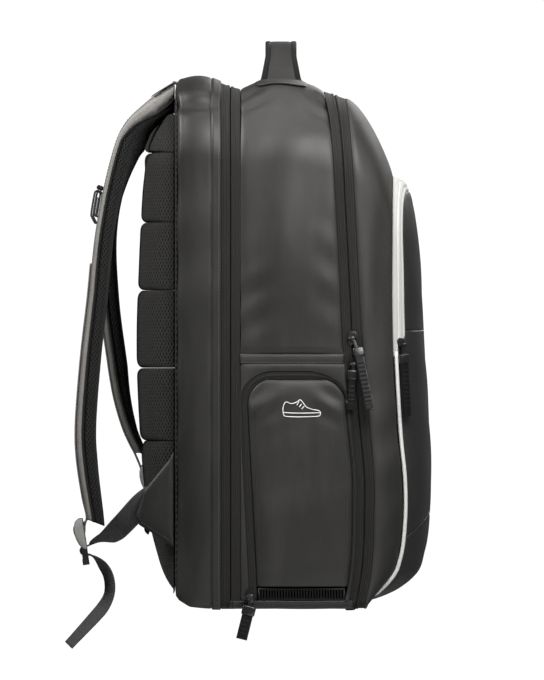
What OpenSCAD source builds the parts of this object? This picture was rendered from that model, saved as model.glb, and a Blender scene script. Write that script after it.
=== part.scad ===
// Racket backpack, held by its carry handle.
// X runs across the bag (the wearer's left is -X), the front is -Y and Z is up.
// The origin is the underside of the carry handle; heights below are given from the base.

/* [Shell] */
// Half of the bag's width
half_width = 160; // [155:1:165]
// Height of the racket compartment's top above the base
racket_top = 531; // [528:1:534]
// Radius of the two top corners, seen from the front
top_radius = 80; // [78:1:82]
// Radius of the bottom side edges
base_radius = 8; // [7:0.5:10]
// Thickness of the fabric and its foam
wall = 2; // [1.6:0.1:2.4]

/* [Racket compartment] */
// Distance of the back panel behind the handle
back_y = 105; // [103:1:107]
// Rear edge of the racket zip tape
racket_edge_y = 60; // [59:0.5:61]
// Centre line of the racket zip
racket_zip_y = 50.5; // [50:0.1:51]
// Front edge of the racket zip tape
divider_y = 41; // [40:0.5:42]

/* [Zips] */
// Thickness of a zip tape
tape_t = 1.2; // [1:0.1:1.4]
// Half of the width of a zip, its two tapes together
tape_half = 9.5; // [9:0.1:10]
// Gap left between two tapes for the slider's post
tape_gap = 1.2; // [1.2:0.1:1.4]
// Length of a slider
slider_l = 14; // [12:0.5:16]
// Width of a slider
slider_w = 9; // [8:0.5:9]
// Diameter of the bail bar that a pull swings on
bail_d = 1.8; // [1.6:0.1:2]

/* [Shoe door] */
// Height of the shoe door's fold above the base
door_low = 23; // [22:0.5:24]
// Height of the shoe door's top edge above the base
door_top = 230; // [227:1:232]
// Radius of the shoe door's top corners
door_radius = 26; // [22:1:30]
// Width of the arched zip tape round the shoe door
door_tape = 7; // [6.5:0.5:7.5]
// Number of slots in the vent grille
vent_slots = 30; // [20:1:34]

/* [Front pocket] */
// Height of the pocket flap's fold above the base
pocket_fold = 279; // [278:1:282]
// Height of the pocket zip's top above the base
pocket_top = 433; // [432:0.5:434]
// Half of the front panel's width
panel_half = 146; // [142:1:148]

/* [Handle] */
// Height of the handle's underside above the base
grip_z = 565; // [563:0.5:566]
// Thickness of the handle band
handle_t = 4; // [3:0.5:5]

/* [Straps] */
// Width of a shoulder strap
strap_w = 62; // [56:1:66]
// Width of the adjusting webbing
webbing_w = 24; // [23:0.5:25]
// Thickness of the adjusting webbing
webbing_t = 1.8; // [1.5:0.1:2]

/* [Hidden] */

coated = [0.24, 0.24, 0.25];
smooth_black = [0.13, 0.13, 0.14];
tape_black = [0.08, 0.08, 0.09];
mesh_black = [0.1, 0.1, 0.1];
foam_grey = [0.4, 0.4, 0.42];
zip_white = [0.92, 0.92, 0.92];
strap_grey = [0.3, 0.3, 0.3];
hard_black = [0.05, 0.05, 0.05];

// Smallest clearance between pieces that move past each other
clear = 0.3;
// Steps along the straight sides of the body outline
side_steps = 12;
// Height of the top of the straight sides
side_top = 430;
corner_steps = 8;
edge_steps = 3;

// Main zip's centre line: depth at each height
main_zip = [[0, -74], [30, -80], [60, -83], [130, -84], [254, -72], [460, -61.5],
    [490, -59], [519, -53]];
main_top_rear = 521;
main_top_crown = 528;
main_top_front = 519;
front_top = 512;
main_zip_top = 515;
racket_zip_top = 524;

// Front silhouette: depth at each height
front_edge = [[5, -79], [9, -94], [16, -112], [24, -125], [33, -135], [58, -145], [102, -150], [122, -151],
    [206, -148], [284, -143], [350, -140], [404, -133], [419, -129], [426, -125], [431, -120], [433, -113.5]];
// Seam between the front shell's side and its front panel
front_seam = [[5, -77], [11, -84], [16, -94], [24, -103], [35, -112], [49, -117], [85, -122], [129, -122],
    [169, -118], [224, -114.5], [254, -113], [434, -112.5]];

// Arc of n steps about [cx, cz]
function arc(cx, cz, r, a0, a1, n) =
    [for (i = [0:n]) let (a = a0 + (a1 - a0)*i/n) [cx + r*cos(a), cz + r*sin(a)]];

// Points strictly between two heights on a straight side
function side_run(x, z0, z1, n) = [for (i = [1:n - 1]) [x, z0 + (z1 - z0)*i/n]];

// Outline of the body seen from the front, from the left foot over the top to the right foot
function tombstone(top, inset) =
    let (hw = half_width - inset, foot = half_width - base_radius, shoulder = half_width - top_radius)
    concat(
        arc(-foot, base_radius, base_radius - inset, 270, 180, edge_steps),
        side_run(-hw, base_radius, side_top, side_steps),
        arc(-shoulder, top - top_radius, top_radius - inset, 180, 90, corner_steps),
        arc(shoulder, top - top_radius, top_radius - inset, 90, 0, corner_steps),
        side_run(hw, side_top, base_radius, side_steps),
        arc(foot, base_radius, base_radius - inset, 0, -90, edge_steps));

// An outline with its lowest points raised
function lifted(outline, lift) = [for (p = outline) [p[0], max(p[1], lift)]];

// The same outline as a ring at one depth
function ring_at(top, inset, y, lift = 0) = [for (p = lifted(tombstone(top, inset), lift)) [p[0], y, p[1]]];

// The same outline following the main zip, moved by a distance towards the rear
function zip_ring(top, inset, shift) =
    let (outer = tombstone(top, 0), inner = tombstone(top, inset))
    [for (i = [0:len(outer) - 1]) [inner[i][0], lookup(outer[i][1], main_zip) + shift, inner[i][1]]];

function blend(a, b, f) = [for (i = [0:len(a) - 1]) a[i] + (b[i] - a[i])*f];
function slice(list, first, last) = [for (i = [first:last]) list[i]];

// Smooth curve through hand-chosen points, n steps to each stretch
function curve_step(a, b, c, d, t) =
    0.5*(2*b + (c - a)*t + (2*a - 5*b + 4*c - d)*t*t + (3*b - a - 3*c + d)*t*t*t);
function smooth_path(p, n) = concat(
    [for (i = [0:len(p) - 2], k = [0:n - 1])
        curve_step(p[max(i - 1, 0)], p[i], p[i + 1], p[min(i + 2, len(p) - 1)], k/n)],
    [p[len(p) - 1]]);

function unit(v) = v/norm(v);
function quad(a, b, c, d) = [[a, b, c], [a, c, d]];

// Closed sheet between an outer and an inner grid of points.
// The outside is where the row direction crossed with the column direction points.
module sheet(outer, inner, ring = false) {
    rows = len(outer);
    cols = len(outer[0]);
    count = rows*cols;
    last = ring ? cols - 1 : cols - 2;
    points = concat([for (row = outer) each row], [for (row = inner) each row]);
    function at(i, j) = i*cols + j%cols;
    faces = concat(
        [for (i = [0:rows - 2], j = [0:last])
            each quad(at(i, j), at(i, j + 1), at(i + 1, j + 1), at(i + 1, j))],
        [for (i = [0:rows - 2], j = [0:last])
            each quad(count + at(i + 1, j + 1), count + at(i, j + 1), count + at(i, j), count + at(i + 1, j))],
        [for (j = [0:last]) each quad(at(0, j + 1), at(0, j), count + at(0, j), count + at(0, j + 1))],
        [for (j = [0:last]) let (i = rows - 1)
            each quad(at(i, j), at(i, j + 1), count + at(i, j + 1), count + at(i, j))],
        ring ? [] : [for (i = [0:rows - 2])
            each quad(at(i, 0), at(i + 1, 0), count + at(i + 1, 0), count + at(i, 0))],
        ring ? [] : [for (i = [0:rows - 2]) let (j = cols - 1)
            each quad(at(i + 1, j), at(i, j), count + at(i, j), count + at(i + 1, j))]);
    polyhedron(points = points, faces = faces, convexity = 6);
}

// Places a piece drawn from the base so that the handle's underside is the origin
module hung() {
    translate([0, 0, -grip_z]) children();
}

// Plate with an outline drawn as [x, z], between two depths
module plate_xz(outline, y_front, y_rear) {
    translate([0, y_rear, 0])
        rotate([90, 0, 0])
            linear_extrude(y_rear - y_front) polygon(outline);
}

// Plate with an outline drawn as [y, z], between two places across the bag
module plate_yz(x_low, x_high) {
    translate([x_low, 0, 0])
        rotate([90, 0, 90])
            linear_extrude(x_high - x_low) children();
}

// Main compartment

// Number of outline points below the seam above the shoe door, on the left side
seam_index = edge_steps + 7;
seam_z = base_radius + (side_top - base_radius)*7/side_steps;
outline_last = len(tombstone(racket_top, 0)) - 1;

// Gusset over the top and down both sides, cut short above the shoe door
module main_gusset() {
    tops = [main_top_rear, main_top_crown, main_top_crown, main_top_front];
    outer = [for (i = [0:3])
        blend(ring_at(tops[i], 0, divider_y), zip_ring(tops[i], 0, tape_half), i/3)];
    inner = [for (i = [0:3])
        blend(ring_at(tops[i], wall, divider_y), zip_ring(tops[i], wall, tape_half), i/3)];
    color(coated) hung()
        sheet([for (row = outer) slice(row, seam_index, outline_last)],
              [for (row = inner) slice(row, seam_index, outline_last)]);
}

// Door outline as [y, z], grown by g; the front side stands beside the main zip and grows less
door_rear_low = 25;
door_rear_top = 33.5;
door_front = -64;
front_growth = 0.3;
function door_outline(g) = concat(
    [[door_rear_low + g, door_low]],
    arc(door_rear_top - door_radius, door_top - door_radius, door_radius + g, 0, 90, corner_steps),
    arc(door_front + door_radius, door_top - door_radius, door_radius + g, 90, 120, edge_steps),
    arc(door_front + door_radius, door_top - door_radius, door_radius + g*front_growth, 130, 180, corner_steps),
    [[door_front - g*front_growth, door_low]]);

vent_low = base_radius + 0.4;
vent_high = 21;
vent_rear = 23;
vent_front = -64;

// Flat panel round the shoe door, from the base to the seam
module shoe_surround() {
    heights = [for (i = [0:7]) base_radius + (side_top - base_radius)*i/side_steps];
    color(coated) hung()
        plate_yz(-half_width, -half_width + wall)
            difference() {
                polygon(concat([[divider_y, base_radius], [divider_y, seam_z]],
                    [for (i = [7:-1:0]) [lookup(heights[i], main_zip) + tape_half, heights[i]]]));
                polygon(door_outline(door_tape));
                translate([vent_front, vent_low]) square([vent_rear - vent_front, vent_high - vent_low]);
            }
}

// Arched tape of the shoe zip, sunk a little below the surround
module shoe_zip_tape() {
    sunk = 0.4;
    color(tape_black) hung()
        plate_yz(-half_width + sunk, -half_width + sunk + tape_t)
            difference() {
                polygon(door_outline(door_tape));
                polygon(door_outline(0));
                translate([vent_front - 20, 0]) square([vent_rear - vent_front + 60, door_low + 0.01]);
            }
}

// Slotted strip that airs the shoe compartment
module vent_grille() {
    end_rim = 1.5;
    pitch = (vent_rear - vent_front - 2*end_rim)/vent_slots;
    rim = 2;
    color(smooth_black) hung()
        plate_yz(-half_width, -half_width + wall)
            difference() {
                translate([vent_front, vent_low]) square([vent_rear - vent_front, vent_high - vent_low]);
                for (i = [0:vent_slots - 1])
                    translate([vent_front + end_rim + (i + 0.25)*pitch, vent_low + rim])
                        square([pitch/2, vent_high - vent_low - 2*rim]);
            }
}

base_front_y = main_zip[0][1] + 0.6;
base_rear_y = racket_zip_y - tape_gap/2;
fold_margin = 3;

// Bottom panel with its rounded left edge, reaching to the fold of the racket compartment
module base_panel() {
    foot = half_width - base_radius;
    color(coated) hung() {
        translate([-foot, base_front_y, 0]) cube([2*foot, base_rear_y - base_front_y, wall]);
        translate([-foot + fold_margin, base_rear_y - 1, 0])
            cube([2*(foot - fold_margin), racket_edge_y - clear - base_rear_y + 1, wall]);
        plate_xz(concat(arc(-foot, base_radius, base_radius, 180, 270, edge_steps),
            arc(-foot, base_radius, base_radius - wall, 270, 180, edge_steps)),
            main_zip[0][1] + tape_half, divider_y);
    }
}

// Stiff board lying on the base
module base_board() {
    margin = 12;
    board_t = 3;
    color(foam_grey) hung()
        translate([-half_width + margin, base_front_y + margin, wall])
            cube([2*(half_width - margin), divider_y - base_front_y - 2*margin, board_t]);
}

// Padded wall between the racket and main compartments
module divider_panel() {
    foam_t = 5;
    rear = divider_y - 1;
    color(foam_grey) hung()
        plate_xz(lifted(tombstone(main_top_rear, wall + clear), wall + clear), rear - foam_t, rear);
}

// Fabric tunnel that holds a pair of shoes, open at the door
module shoe_tunnel() {
    lining = 1.5;
    depth = 240;
    rear = 28;
    front = -58;
    low = door_low - 1;
    high = door_top - 2;
    mouth = -half_width + door_t + clear;
    color(smooth_black) hung()
        difference() {
            translate([mouth, front, low]) cube([depth, rear - front, high - low]);
            translate([mouth - 1, front + lining, low + lining])
                cube([depth - lining + 1, rear - front - 2*lining, high - low - 2*lining]);
        }
}

// Carry handle
foot_gap = 0.8;
foot_x = 66;
handle_route = [[-foot_x, main_top_crown + foot_gap], [-61, 546], [-40, 564.5], [0, grip_z + handle_t/2],
    [40, 564.5], [61, 546], [foot_x, main_top_crown + foot_gap]];
handle_half_foot = 24;
handle_half_grip = 15.5;
// Share of the half length, from the middle, where the handle starts to widen
flare_from = 0.4;
binding_w = 5;
patch_t = 2.4;

// Rows along the handle between two edges, standing off its centre by a distance.
// An edge is [side, shift]: that side of the band, moved across it.
function handle_rows(low, high, off) =
    let (path = smooth_path(handle_route, 4), n = len(path) - 1)
    [for (i = [0:n])
        let (along = unit(path[min(i + 1, n)] - path[max(i - 1, 0)]), out = [-along[1], along[0]],
            p = path[i] + out*off,
            flare = max(0, abs(2*i/n - 1) - flare_from)/(1 - flare_from),
            half = handle_half_grip + (handle_half_foot - handle_half_grip)*flare)
        [[p[0], low[0]*half + low[1], p[1]], [p[0], high[0]*half + high[1], p[1]]]];

module handle_strip(low, high) {
    sheet(handle_rows(low, high, handle_t/2), handle_rows(low, high, -handle_t/2));
}

module handle_band() {
    color(strap_grey) hung() handle_strip([-1, binding_w], [1, -binding_w]);
}

module handle_binding_front() {
    color(tape_black) hung() handle_strip([-1, 0], [-1, binding_w]);
}

module handle_binding_rear() {
    color(tape_black) hung() handle_strip([1, -binding_w], [1, 0]);
}

// Reinforcing patches sewn inside the top under the handle's feet
module handle_patch() {
    patch_half = 14;
    color(coated) hung()
        for (side = [-1, 1])
            translate([side*foot_x - patch_half, -handle_half_foot, main_top_rear - wall])
                cube([2*patch_half, 2*handle_half_foot, patch_t]);
}

// Zip tapes of the racket and main zips
tape_inset = 0.6;
// Drop from the racket shell's top to its edges
edge_drop = 3;
// How far the rear edge of the racket shell is drawn in
rear_inset = 2.5;

module racket_zip_tape_front() {
    front = [ring_at(racket_zip_top, tape_inset, racket_zip_y - tape_gap/2),
        ring_at(main_top_rear, tape_inset, divider_y)];
    back = [ring_at(racket_zip_top, tape_inset + tape_t, racket_zip_y - tape_gap/2),
        ring_at(main_top_rear, tape_inset + tape_t, divider_y)];
    color(tape_black) hung() sheet(front, back);
}

module racket_zip_tape_rear() {
    front = [ring_at(racket_top - edge_drop, tape_inset, racket_edge_y),
        ring_at(racket_zip_top, tape_inset, racket_zip_y + tape_gap/2)];
    back = [ring_at(racket_top - edge_drop, tape_inset + tape_t, racket_edge_y),
        ring_at(racket_zip_top, tape_inset + tape_t, racket_zip_y + tape_gap/2)];
    color(tape_black) hung() sheet(front, back);
}

module main_zip_tape_rear() {
    color(tape_black) hung()
        sheet([zip_ring(main_top_front, tape_inset, tape_half), zip_ring(main_zip_top, tape_inset, tape_gap/2)],
            [zip_ring(main_top_front, tape_inset + tape_t, tape_half),
             zip_ring(main_zip_top, tape_inset + tape_t, tape_gap/2)]);
}

module main_zip_tape_front() {
    color(tape_black) hung()
        sheet([zip_ring(main_zip_top, tape_inset, -tape_gap/2), zip_ring(front_top, tape_inset, -tape_half)],
            [zip_ring(main_zip_top, tape_inset + tape_t, -tape_gap/2),
             zip_ring(front_top, tape_inset + tape_t, -tape_half)]);
}

// Racket compartment

// Height of the rear bottom edge above the base
heel_lift = 13;

// Closed ring of the racket shell: zip edge, wall, and a rear edge rounded up from the base
module racket_gusset() {
    depths = [back_y, back_y - 3, back_y - 14, racket_edge_y + 8, racket_edge_y];
    tops = [racket_top - edge_drop, racket_top, racket_top, racket_top, racket_top - edge_drop];
    insets = [rear_inset, 0, 0, 0, 0];
    lifts = [heel_lift, heel_lift - 4, heel_lift - 10, 0, 0];
    color(coated) hung()
        sheet([for (i = [0:4]) ring_at(tops[i], insets[i], depths[i], lifts[i])],
            [for (i = [0:4]) ring_at(tops[i], insets[i] + wall, depths[i], lifts[i] + wall)], ring = true);
}

module back_panel() {
    color(smooth_black) hung()
        plate_xz(lifted(tombstone(racket_top - edge_drop, rear_inset), heel_lift), back_y, back_y + wall);
}

// Stiff sheet that keeps the back flat
module back_sheet() {
    low = 30;
    sheet_t = 1.5;
    color(foam_grey) hung()
        plate_xz(lifted(tombstone(racket_top - 2*edge_drop, base_radius - 1), low), back_y - sheet_t, back_y);
}

// Rear silhouette of the quilted back: depth at each height
pad_crest = [[15, 107.6], [24, 112.4], [38, 119], [57, 125], [85, 132], [119, 137], [159, 140.6], [216, 144],
    [285, 145], [325, 143.6], [392, 140.6], [429, 138], [468, 131], [490, 121], [496, 119]];
// Heights of the quilting seams, from the top down
pad_seams = [496, 457, 387, 319, 241, 168, 15];
pad_half = 146;
// Height where the quilted back starts to narrow, and how much it does
shoulder_z = 440;
shoulder_in = 52;
pad_channel = 5.5;
seam_tightness = 12;

// One quilted cushion: full in the middle, drawn in at its seams and sides
module back_pad(number) {
    steps = number == 6 ? 10 : 6;
    across = [-1, -0.96, -0.88, -0.7, -0.35, 0, 0.35, 0.7, 0.88, 0.96, 1];
    base = back_y + wall;
    hem = 0.8;
    seam_gap = 0.4;
    high = pad_seams[number - 1] - seam_gap;
    low = pad_seams[number] + seam_gap;
    function crest(z, q) =
        let (r = abs(2*(z - low)/(high - low) - 1), rise = lookup(z, pad_crest) - base)
        max(hem, (rise - pad_channel*pow(r, seam_tightness))*(1 - pow(abs(q), 4)));
    function half_at(z) = pad_half - shoulder_in*pow(max(0, z - shoulder_z)/60, 2);
    heights = [for (i = [0:steps]) low + (high - low)*(0.5 - 0.5*cos(180*i/steps))];
    color(mesh_black) hung()
        sheet([for (z = heights) [for (q = across) [q*half_at(z), base + crest(z, q), z]]],
            [for (z = heights) [for (q = across) [q*half_at(z), base, z]]]);
}

module back_pad_1() { back_pad(1); }
module back_pad_2() { back_pad(2); }
module back_pad_3() { back_pad(3); }
module back_pad_4() { back_pad(4); }
module back_pad_5() { back_pad(5); }
module back_pad_6() { back_pad(6); }

// Side wing that the strap webbing is sewn to, drawn as [y, z]
wing_root = back_y + 2.2;
wing_outline = [[wing_root, 158], [112, 149], [137, 118], [145, 93], [142, 84], [129, 76], [wing_root, 62]];
wing_x = 150;
wing_t = 4;

module wing_left() {
    color(coated) hung() plate_yz(-wing_x - wing_t, -wing_x) polygon(wing_outline);
}

module wing_right() {
    color(coated) hung() plate_yz(wing_x, wing_x + wing_t) polygon(wing_outline);
}

// Shoulder straps

// Outer line of each strap as [x from the middle, y, z], from the top seam down
strap_route_left = [[62, 109.3, 526.5], [63, 134, 510], [65, 159, 486], [68, 172, 451], [73, 186, 379],
    [78, 193, 312], [84, 200, 250], [90, 205, 181], [94, 202.5, 139], [96, 194, 89]];
strap_route_right = [[62, 109.3, 526.5], [63, 134, 508], [65, 159, 484], [68, 172, 451], [76, 184, 379],
    [86, 182, 312], [97, 175, 255], [109, 168, 212], [118, 158, 178], [123, 147, 155]];
strap_steps = 2;
// Thickness of the strap's outer shell by fraction of its length
strap_skin = [[0, 2.5], [0.06, 9], [0.11, 12], [0.2, 10.5], [0.3, 7], [0.4, 6], [0.6, 6.5], [1, 7]];
// Depth of the mesh pad's inner face, and half width of the strap, by fraction of its length
pad_depth_left = [[0, 3.5], [0.06, 12.5], [0.11, 16.5], [0.2, 17.5], [0.85, 19.5], [1, 18]];
pad_depth_right = [[0, 3.5], [0.06, 12.5], [0.11, 16.5], [0.2, 17.5], [0.7, 18], [0.9, 12], [1, 11]];
strap_half = [[0, 0.5], [0.35, 0.5], [0.8, 0.42], [1, 0.34]];
strap_edge_drop = 2.5;
// Slope of the strap across its width, its neck side leaning in to the back, by fraction of its length
strap_slope = [[0, 0], [0.06, 0.02], [0.11, 0.04], [0.17, 0.12], [0.22, 0.19], [0.28, 0.22], [0.33, 0.15],
    [0.39, 0.02], [0.42, 0], [1, 0]];
overlay_half = 15;
overlay_t = 2.4;
overlay_lift = 0.5;
overlay_from = 0.5;

// Rows across a strap, sunk below its outer line by a depth at each fraction of its length.
// spread lists places across as [fraction of the half width, drop].
function strap_rows(route, side, depth, spread, from = 0) =
    let (path = smooth_path(route, strap_steps), n = len(path) - 1, first = round(from*n))
    [for (i = [first:n])
        let (t = path[min(i + 1, n)] - path[max(i - 1, 0)], along = unit([t[1], t[2]]),
            out = [-along[1], along[0]], half = lookup(i/n, strap_half)*strap_w, d = lookup(i/n, depth),
            fall = half*lookup(i/n, strap_slope))
        [for (s = spread)
            let (low = d + s[1] + fall*(1 + s[0]*side))
            [side*path[i][0] - s[0]*half, path[i][1] - out[0]*low, path[i][2] - out[1]*low]]];

strap_spread = [[-1, strap_edge_drop], [-0.7, 0], [0.7, 0], [1, strap_edge_drop]];
flat_spread = [[-1, 0], [-0.7, 0], [0.7, 0], [1, 0]];

module strap_shell(route, side) {
    color(strap_grey) hung()
        sheet(strap_rows(route, side, [[0, 0], [1, 0]], strap_spread),
            strap_rows(route, side, strap_skin, flat_spread));
}

module strap_pad(route, side, depths) {
    color(mesh_black) hung()
        sheet(strap_rows(route, side, strap_skin, flat_spread), strap_rows(route, side, depths, flat_spread));
}

module strap_shell_left() { strap_shell(strap_route_left, -1); }
module strap_shell_right() { strap_shell(strap_route_right, 1); }
module strap_pad_left() { strap_pad(strap_route_left, -1, pad_depth_left); }
module strap_pad_right() { strap_pad(strap_route_right, 1, pad_depth_right); }

// Ladder-lock buckles and webbing

// Each buckle: [x from the middle, [y, z] of its top bar, [y, z] of its toothed bar]
lock_left = [96, [201, 84], [197, 58]];
lock_right = [124, [136, 139], [134, 113]];
bar_d = 4.6;
rail_w = 2.6;
rail_d = 6;
loop_t = 2;

// Side cheek of a buckle as [y, z] from its top bar
lock_cheek = [[-3.2, 6], [1.5, 6.4], [5.2, 3.6], [7.2, -2], [7.6, -8], [6.6, -14], [4.6, -19.5], [1.6, -24],
    [-3.2, -25]];

// Frame of two cheeked rails with a top bar, a middle bar, a toothed bar and a thumb lip
module ladder_lock(lock, side) {
    run = lock[2] - lock[1];
    length = norm(run);
    lean = atan2(run[0], -run[1]);
    inside = webbing_w + 3;
    lip_gap = 8.5;
    lip_h = 6;
    teeth = 7;
    color(hard_black) hung()
        translate([side*lock[0], lock[1][0], lock[1][1]])
            rotate([lean, 0, 0]) {
                for (x = [-inside/2 - rail_w, inside/2]) {
                    translate([x, -rail_d/2, -length - lip_gap - lip_h])
                        cube([rail_w, rail_d, length + lip_gap + lip_h]);
                    plate_yz(x, x + rail_w) polygon(lock_cheek);
                }
                for (z = [0, -length + 10, -length])
                    translate([-inside/2 - 0.1, 0, z])
                        rotate([0, 90, 0]) cylinder(d = bar_d, h = inside + 0.2, $fn = 32);
                translate([-inside/2 - 0.1, -rail_d/2, -length - lip_gap - lip_h])
                    cube([inside + 0.2, 3, lip_h]);
                for (i = [0:teeth - 1])
                    translate([(i + 0.5)*inside/teeth - inside/2 - 1, 0, -length - lip_gap - lip_h])
                        cube([2, rail_d/2 + 0.6, lip_h]);
            }
}

module ladder_lock_left() { ladder_lock(lock_left, -1); }
module ladder_lock_right() { ladder_lock(lock_right, 1); }

// Webbing strip sewn on the lower strap, ending in a loop round the buckle's top bar
module strap_overlay(route, side, lock) {
    span = [[-overlay_half/strap_w*2, 0], [overlay_half/strap_w*2, 0]];
    face = -overlay_lift - overlay_t;
    color(strap_grey) hung() {
        sheet(strap_rows(route, side, [[0, face], [1, face]], span, overlay_from),
            strap_rows(route, side, [[0, -overlay_lift], [1, -overlay_lift]], span, overlay_from));
        translate([side*lock[0] - webbing_w/2, lock[1][0], lock[1][1]])
            rotate([0, 90, 0])
                difference() {
                    cylinder(d = bar_d + 2*clear + 2*loop_t, h = webbing_w, $fn = 40);
                    translate([0, 0, -1]) cylinder(d = bar_d + 2*clear, h = webbing_w + 2, $fn = 40);
                }
    }
}

module strap_overlay_left() { strap_overlay(strap_route_left, -1, lock_left); }
module strap_overlay_right() { strap_overlay(strap_route_right, 1, lock_right); }

// Webbing rows are [x from the middle, y, z, half width in x, y and z]
function wrap_rows(lock, angles) =
    let (r = bar_d/2 + 3*clear + webbing_t/2)
    [for (a = angles) [lock[0], lock[2][0] + r*cos(a), lock[2][1] + r*sin(a), webbing_w/2, 0, 0]];

web_left_in = [[149, 128, 113, 0, 6.5, 10], [146.5, 140, 104, 2, 6, 10], [134, 158, 85, 6, 4, 9],
    [113, 172, 71.5, 10, 1.5, 5.5], [96.5, 186, 66, 12, 0.3, 0.6]];
web_left_tail = [[96, 190, 53, 12, 0, 0], [98, 180, 44, 11, -2, 4], [99, 174, 35, 11, -4, 3],
    [100, 171.5, 24, 10.5, -5, 1], [100, 172.5, 13, 10.5, -5, -1], [100, 178, 2, 10.5, -5, -3],
    [100, 188, -10, 10.5, -5, -3], [100, 213, -37, 10.5, -6, 0]];
web_right_in = [[149, 131, 82, 0, 4, 11], [144, 139, 87, 4, 4, 10], [134, 144, 94, 10, 2, 5],
    [125, 143, 102, 12, 0, 0]];
web_right_tail = [[124, 128.6, 103, 12, 0, 0], [125, 127, 92, 12, 0, 0], [131, 124.5, 76, 12, 0, 0],
    [134, 121, 60, 12, 0, 0], [135, 119, 42, 12, 0, 0]];

function web_side(rows, side) = [for (r = rows) [side*r[0], r[1], r[2], side*r[3], r[4], r[5]]];

// Flat strip along a route of rows
module webbing(rows) {
    path = smooth_path(rows, 2);
    n = len(path) - 1;
    function centre(i) = [path[i][0], path[i][1], path[i][2]];
    function half(i) = [path[i][3], path[i][4], path[i][5]];
    function out(i) = unit(cross(centre(min(i + 1, n)) - centre(max(i - 1, 0)), half(i)));
    color(strap_grey) hung()
        sheet([for (i = [0:n]) [for (s = [-1, 1]) centre(i) + s*half(i) + out(i)*webbing_t/2]],
            [for (i = [0:n]) [for (s = [-1, 1]) centre(i) + s*half(i) - out(i)*webbing_t/2]]);
}

module webbing_left() {
    wrap = wrap_rows(lock_left, [105, 60, 15, -30, -75]);
    webbing(web_side(concat(web_left_in, wrap, web_left_tail), -1));
}

module webbing_right() {
    wrap = wrap_rows(lock_right, [-30, 15, 60, 105, 150, 190]);
    webbing(web_side(concat(web_right_in, wrap, web_right_tail), 1));
}

// Folded webbing keeper sewn on the strap's outer face, and the bar held at its top
keeper_h = 34;
keeper_w = 26;
keeper_deep = 9;
keeper_gap = 1;
keeper_place_left = [71, 181.3, 402];
keeper_place_right = [73.5, 180.2, 402];
keeper_lean = 9.5;
keeper_bar_d = 5;
// Side outline of the keeper as [distance out of the strap, height]
keeper_outline = [[keeper_gap, -keeper_h/2], [3, -keeper_h/2], [6.5, -12.5], [keeper_deep, -8.5],
    [keeper_deep, 14.5], [7.6, keeper_h/2], [keeper_gap, keeper_h/2]];

module keeper_frame(place, side) {
    hung() translate([side*place[0], place[1], place[2]]) rotate([keeper_lean, 0, 0]) children();
}

module keeper(place, side) {
    color(tape_black) keeper_frame(place, side) plate_yz(-keeper_w/2, keeper_w/2) polygon(keeper_outline);
}

module keeper_bar(place, side) {
    bar_w = 34;
    seat = 0.1;
    color(hard_black) keeper_frame(place, side)
        translate([-bar_w/2, keeper_deep/2, keeper_h/2 + keeper_bar_d/2 + seat])
            rotate([0, 90, 0]) cylinder(d = keeper_bar_d, h = bar_w, $fn = 32);
}

module keeper_left() { keeper(keeper_place_left, -1); }
module keeper_right() { keeper(keeper_place_right, 1); }
module keeper_bar_left() { keeper_bar(keeper_place_left, -1); }
module keeper_bar_right() { keeper_bar(keeper_place_right, 1); }

// Front shell

seam_foot = 11;
seam_foot_r = 6;
seam_radius = 66;
seam_centre_z = pocket_top - seam_radius;
zip_inset = 14;
piping_w = 3.3;
panel_roundness = 5;

// Outline of the front panel seen from the front, with as many points as the body's outline
function seam_outline(inset) =
    let (ph = panel_half - inset, c = panel_half - seam_radius, f = panel_half - seam_foot_r,
        fz = seam_foot + seam_foot_r, fr = max(seam_foot_r - inset, 0.5))
    concat(
        arc(-f, fz, fr, 270, 180, edge_steps),
        side_run(-ph, fz, seam_centre_z, side_steps),
        arc(-c, seam_centre_z, seam_radius - inset, 180, 90, corner_steps),
        arc(c, seam_centre_z, seam_radius - inset, 90, 0, corner_steps),
        side_run(ph, seam_centre_z, fz, side_steps),
        arc(f, fz, fr, 0, -90, edge_steps));

// Half width of that outline at a height
function arch_half(z, inset) =
    let (up = z - seam_centre_z, r = seam_radius - inset)
    up > 0 ? panel_half - seam_radius + sqrt(max(0, r*r - up*up)) : panel_half - inset;

// Depth of the front panel's surface at a height and a place across
function panel_y(z, x) =
    let (ys = lookup(z, front_seam), yf = lookup(z, front_edge), q = min(1, abs(x)/arch_half(z, 0)))
    ys + (yf - ys)*(1 - pow(q, panel_roundness));

function seam_ring(inset, shift) =
    [for (p = seam_outline(inset)) [p[0], panel_y(p[1], p[0]) + shift, p[1]]];

// Loft between the main zip and the front panel's seam: straight back first, then drawn in
function shell_row(zip_side, panel_side, f) =
    let (g = pow(f, 1.5))
    [for (i = [0:len(zip_side) - 1])
        let (a = zip_side[i], b = panel_side[i])
        [a[0] + (b[0] - a[0])*g, a[1] + (b[1] - a[1])*f, a[2] + (b[2] - a[2])*g]];

module front_gusset() {
    steps = [0, 0.25, 0.5, 0.75, 1];
    zip_out = zip_ring(front_top, 0, -tape_half);
    zip_in = zip_ring(front_top, wall, -tape_half);
    color(coated) hung()
        sheet([for (f = steps) shell_row(zip_out, seam_ring(0, 0), f)],
            [for (f = steps) shell_row(zip_in, seam_ring(wall, wall), f)]);
}

// First outline point of the pocket zip; the piping runs below it
zip_first = edge_steps + 8;

module pocket_zip_tape() {
    sewn_gap = 0.15;
    function stretch(ring) = slice(ring, zip_first, outline_last - zip_first);
    color(zip_white) hung()
        sheet([stretch(seam_ring(sewn_gap, 0)), stretch(seam_ring(zip_inset, 0))],
            [stretch(seam_ring(wall + sewn_gap, wall)), stretch(seam_ring(zip_inset, tape_t))]);
}

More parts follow.
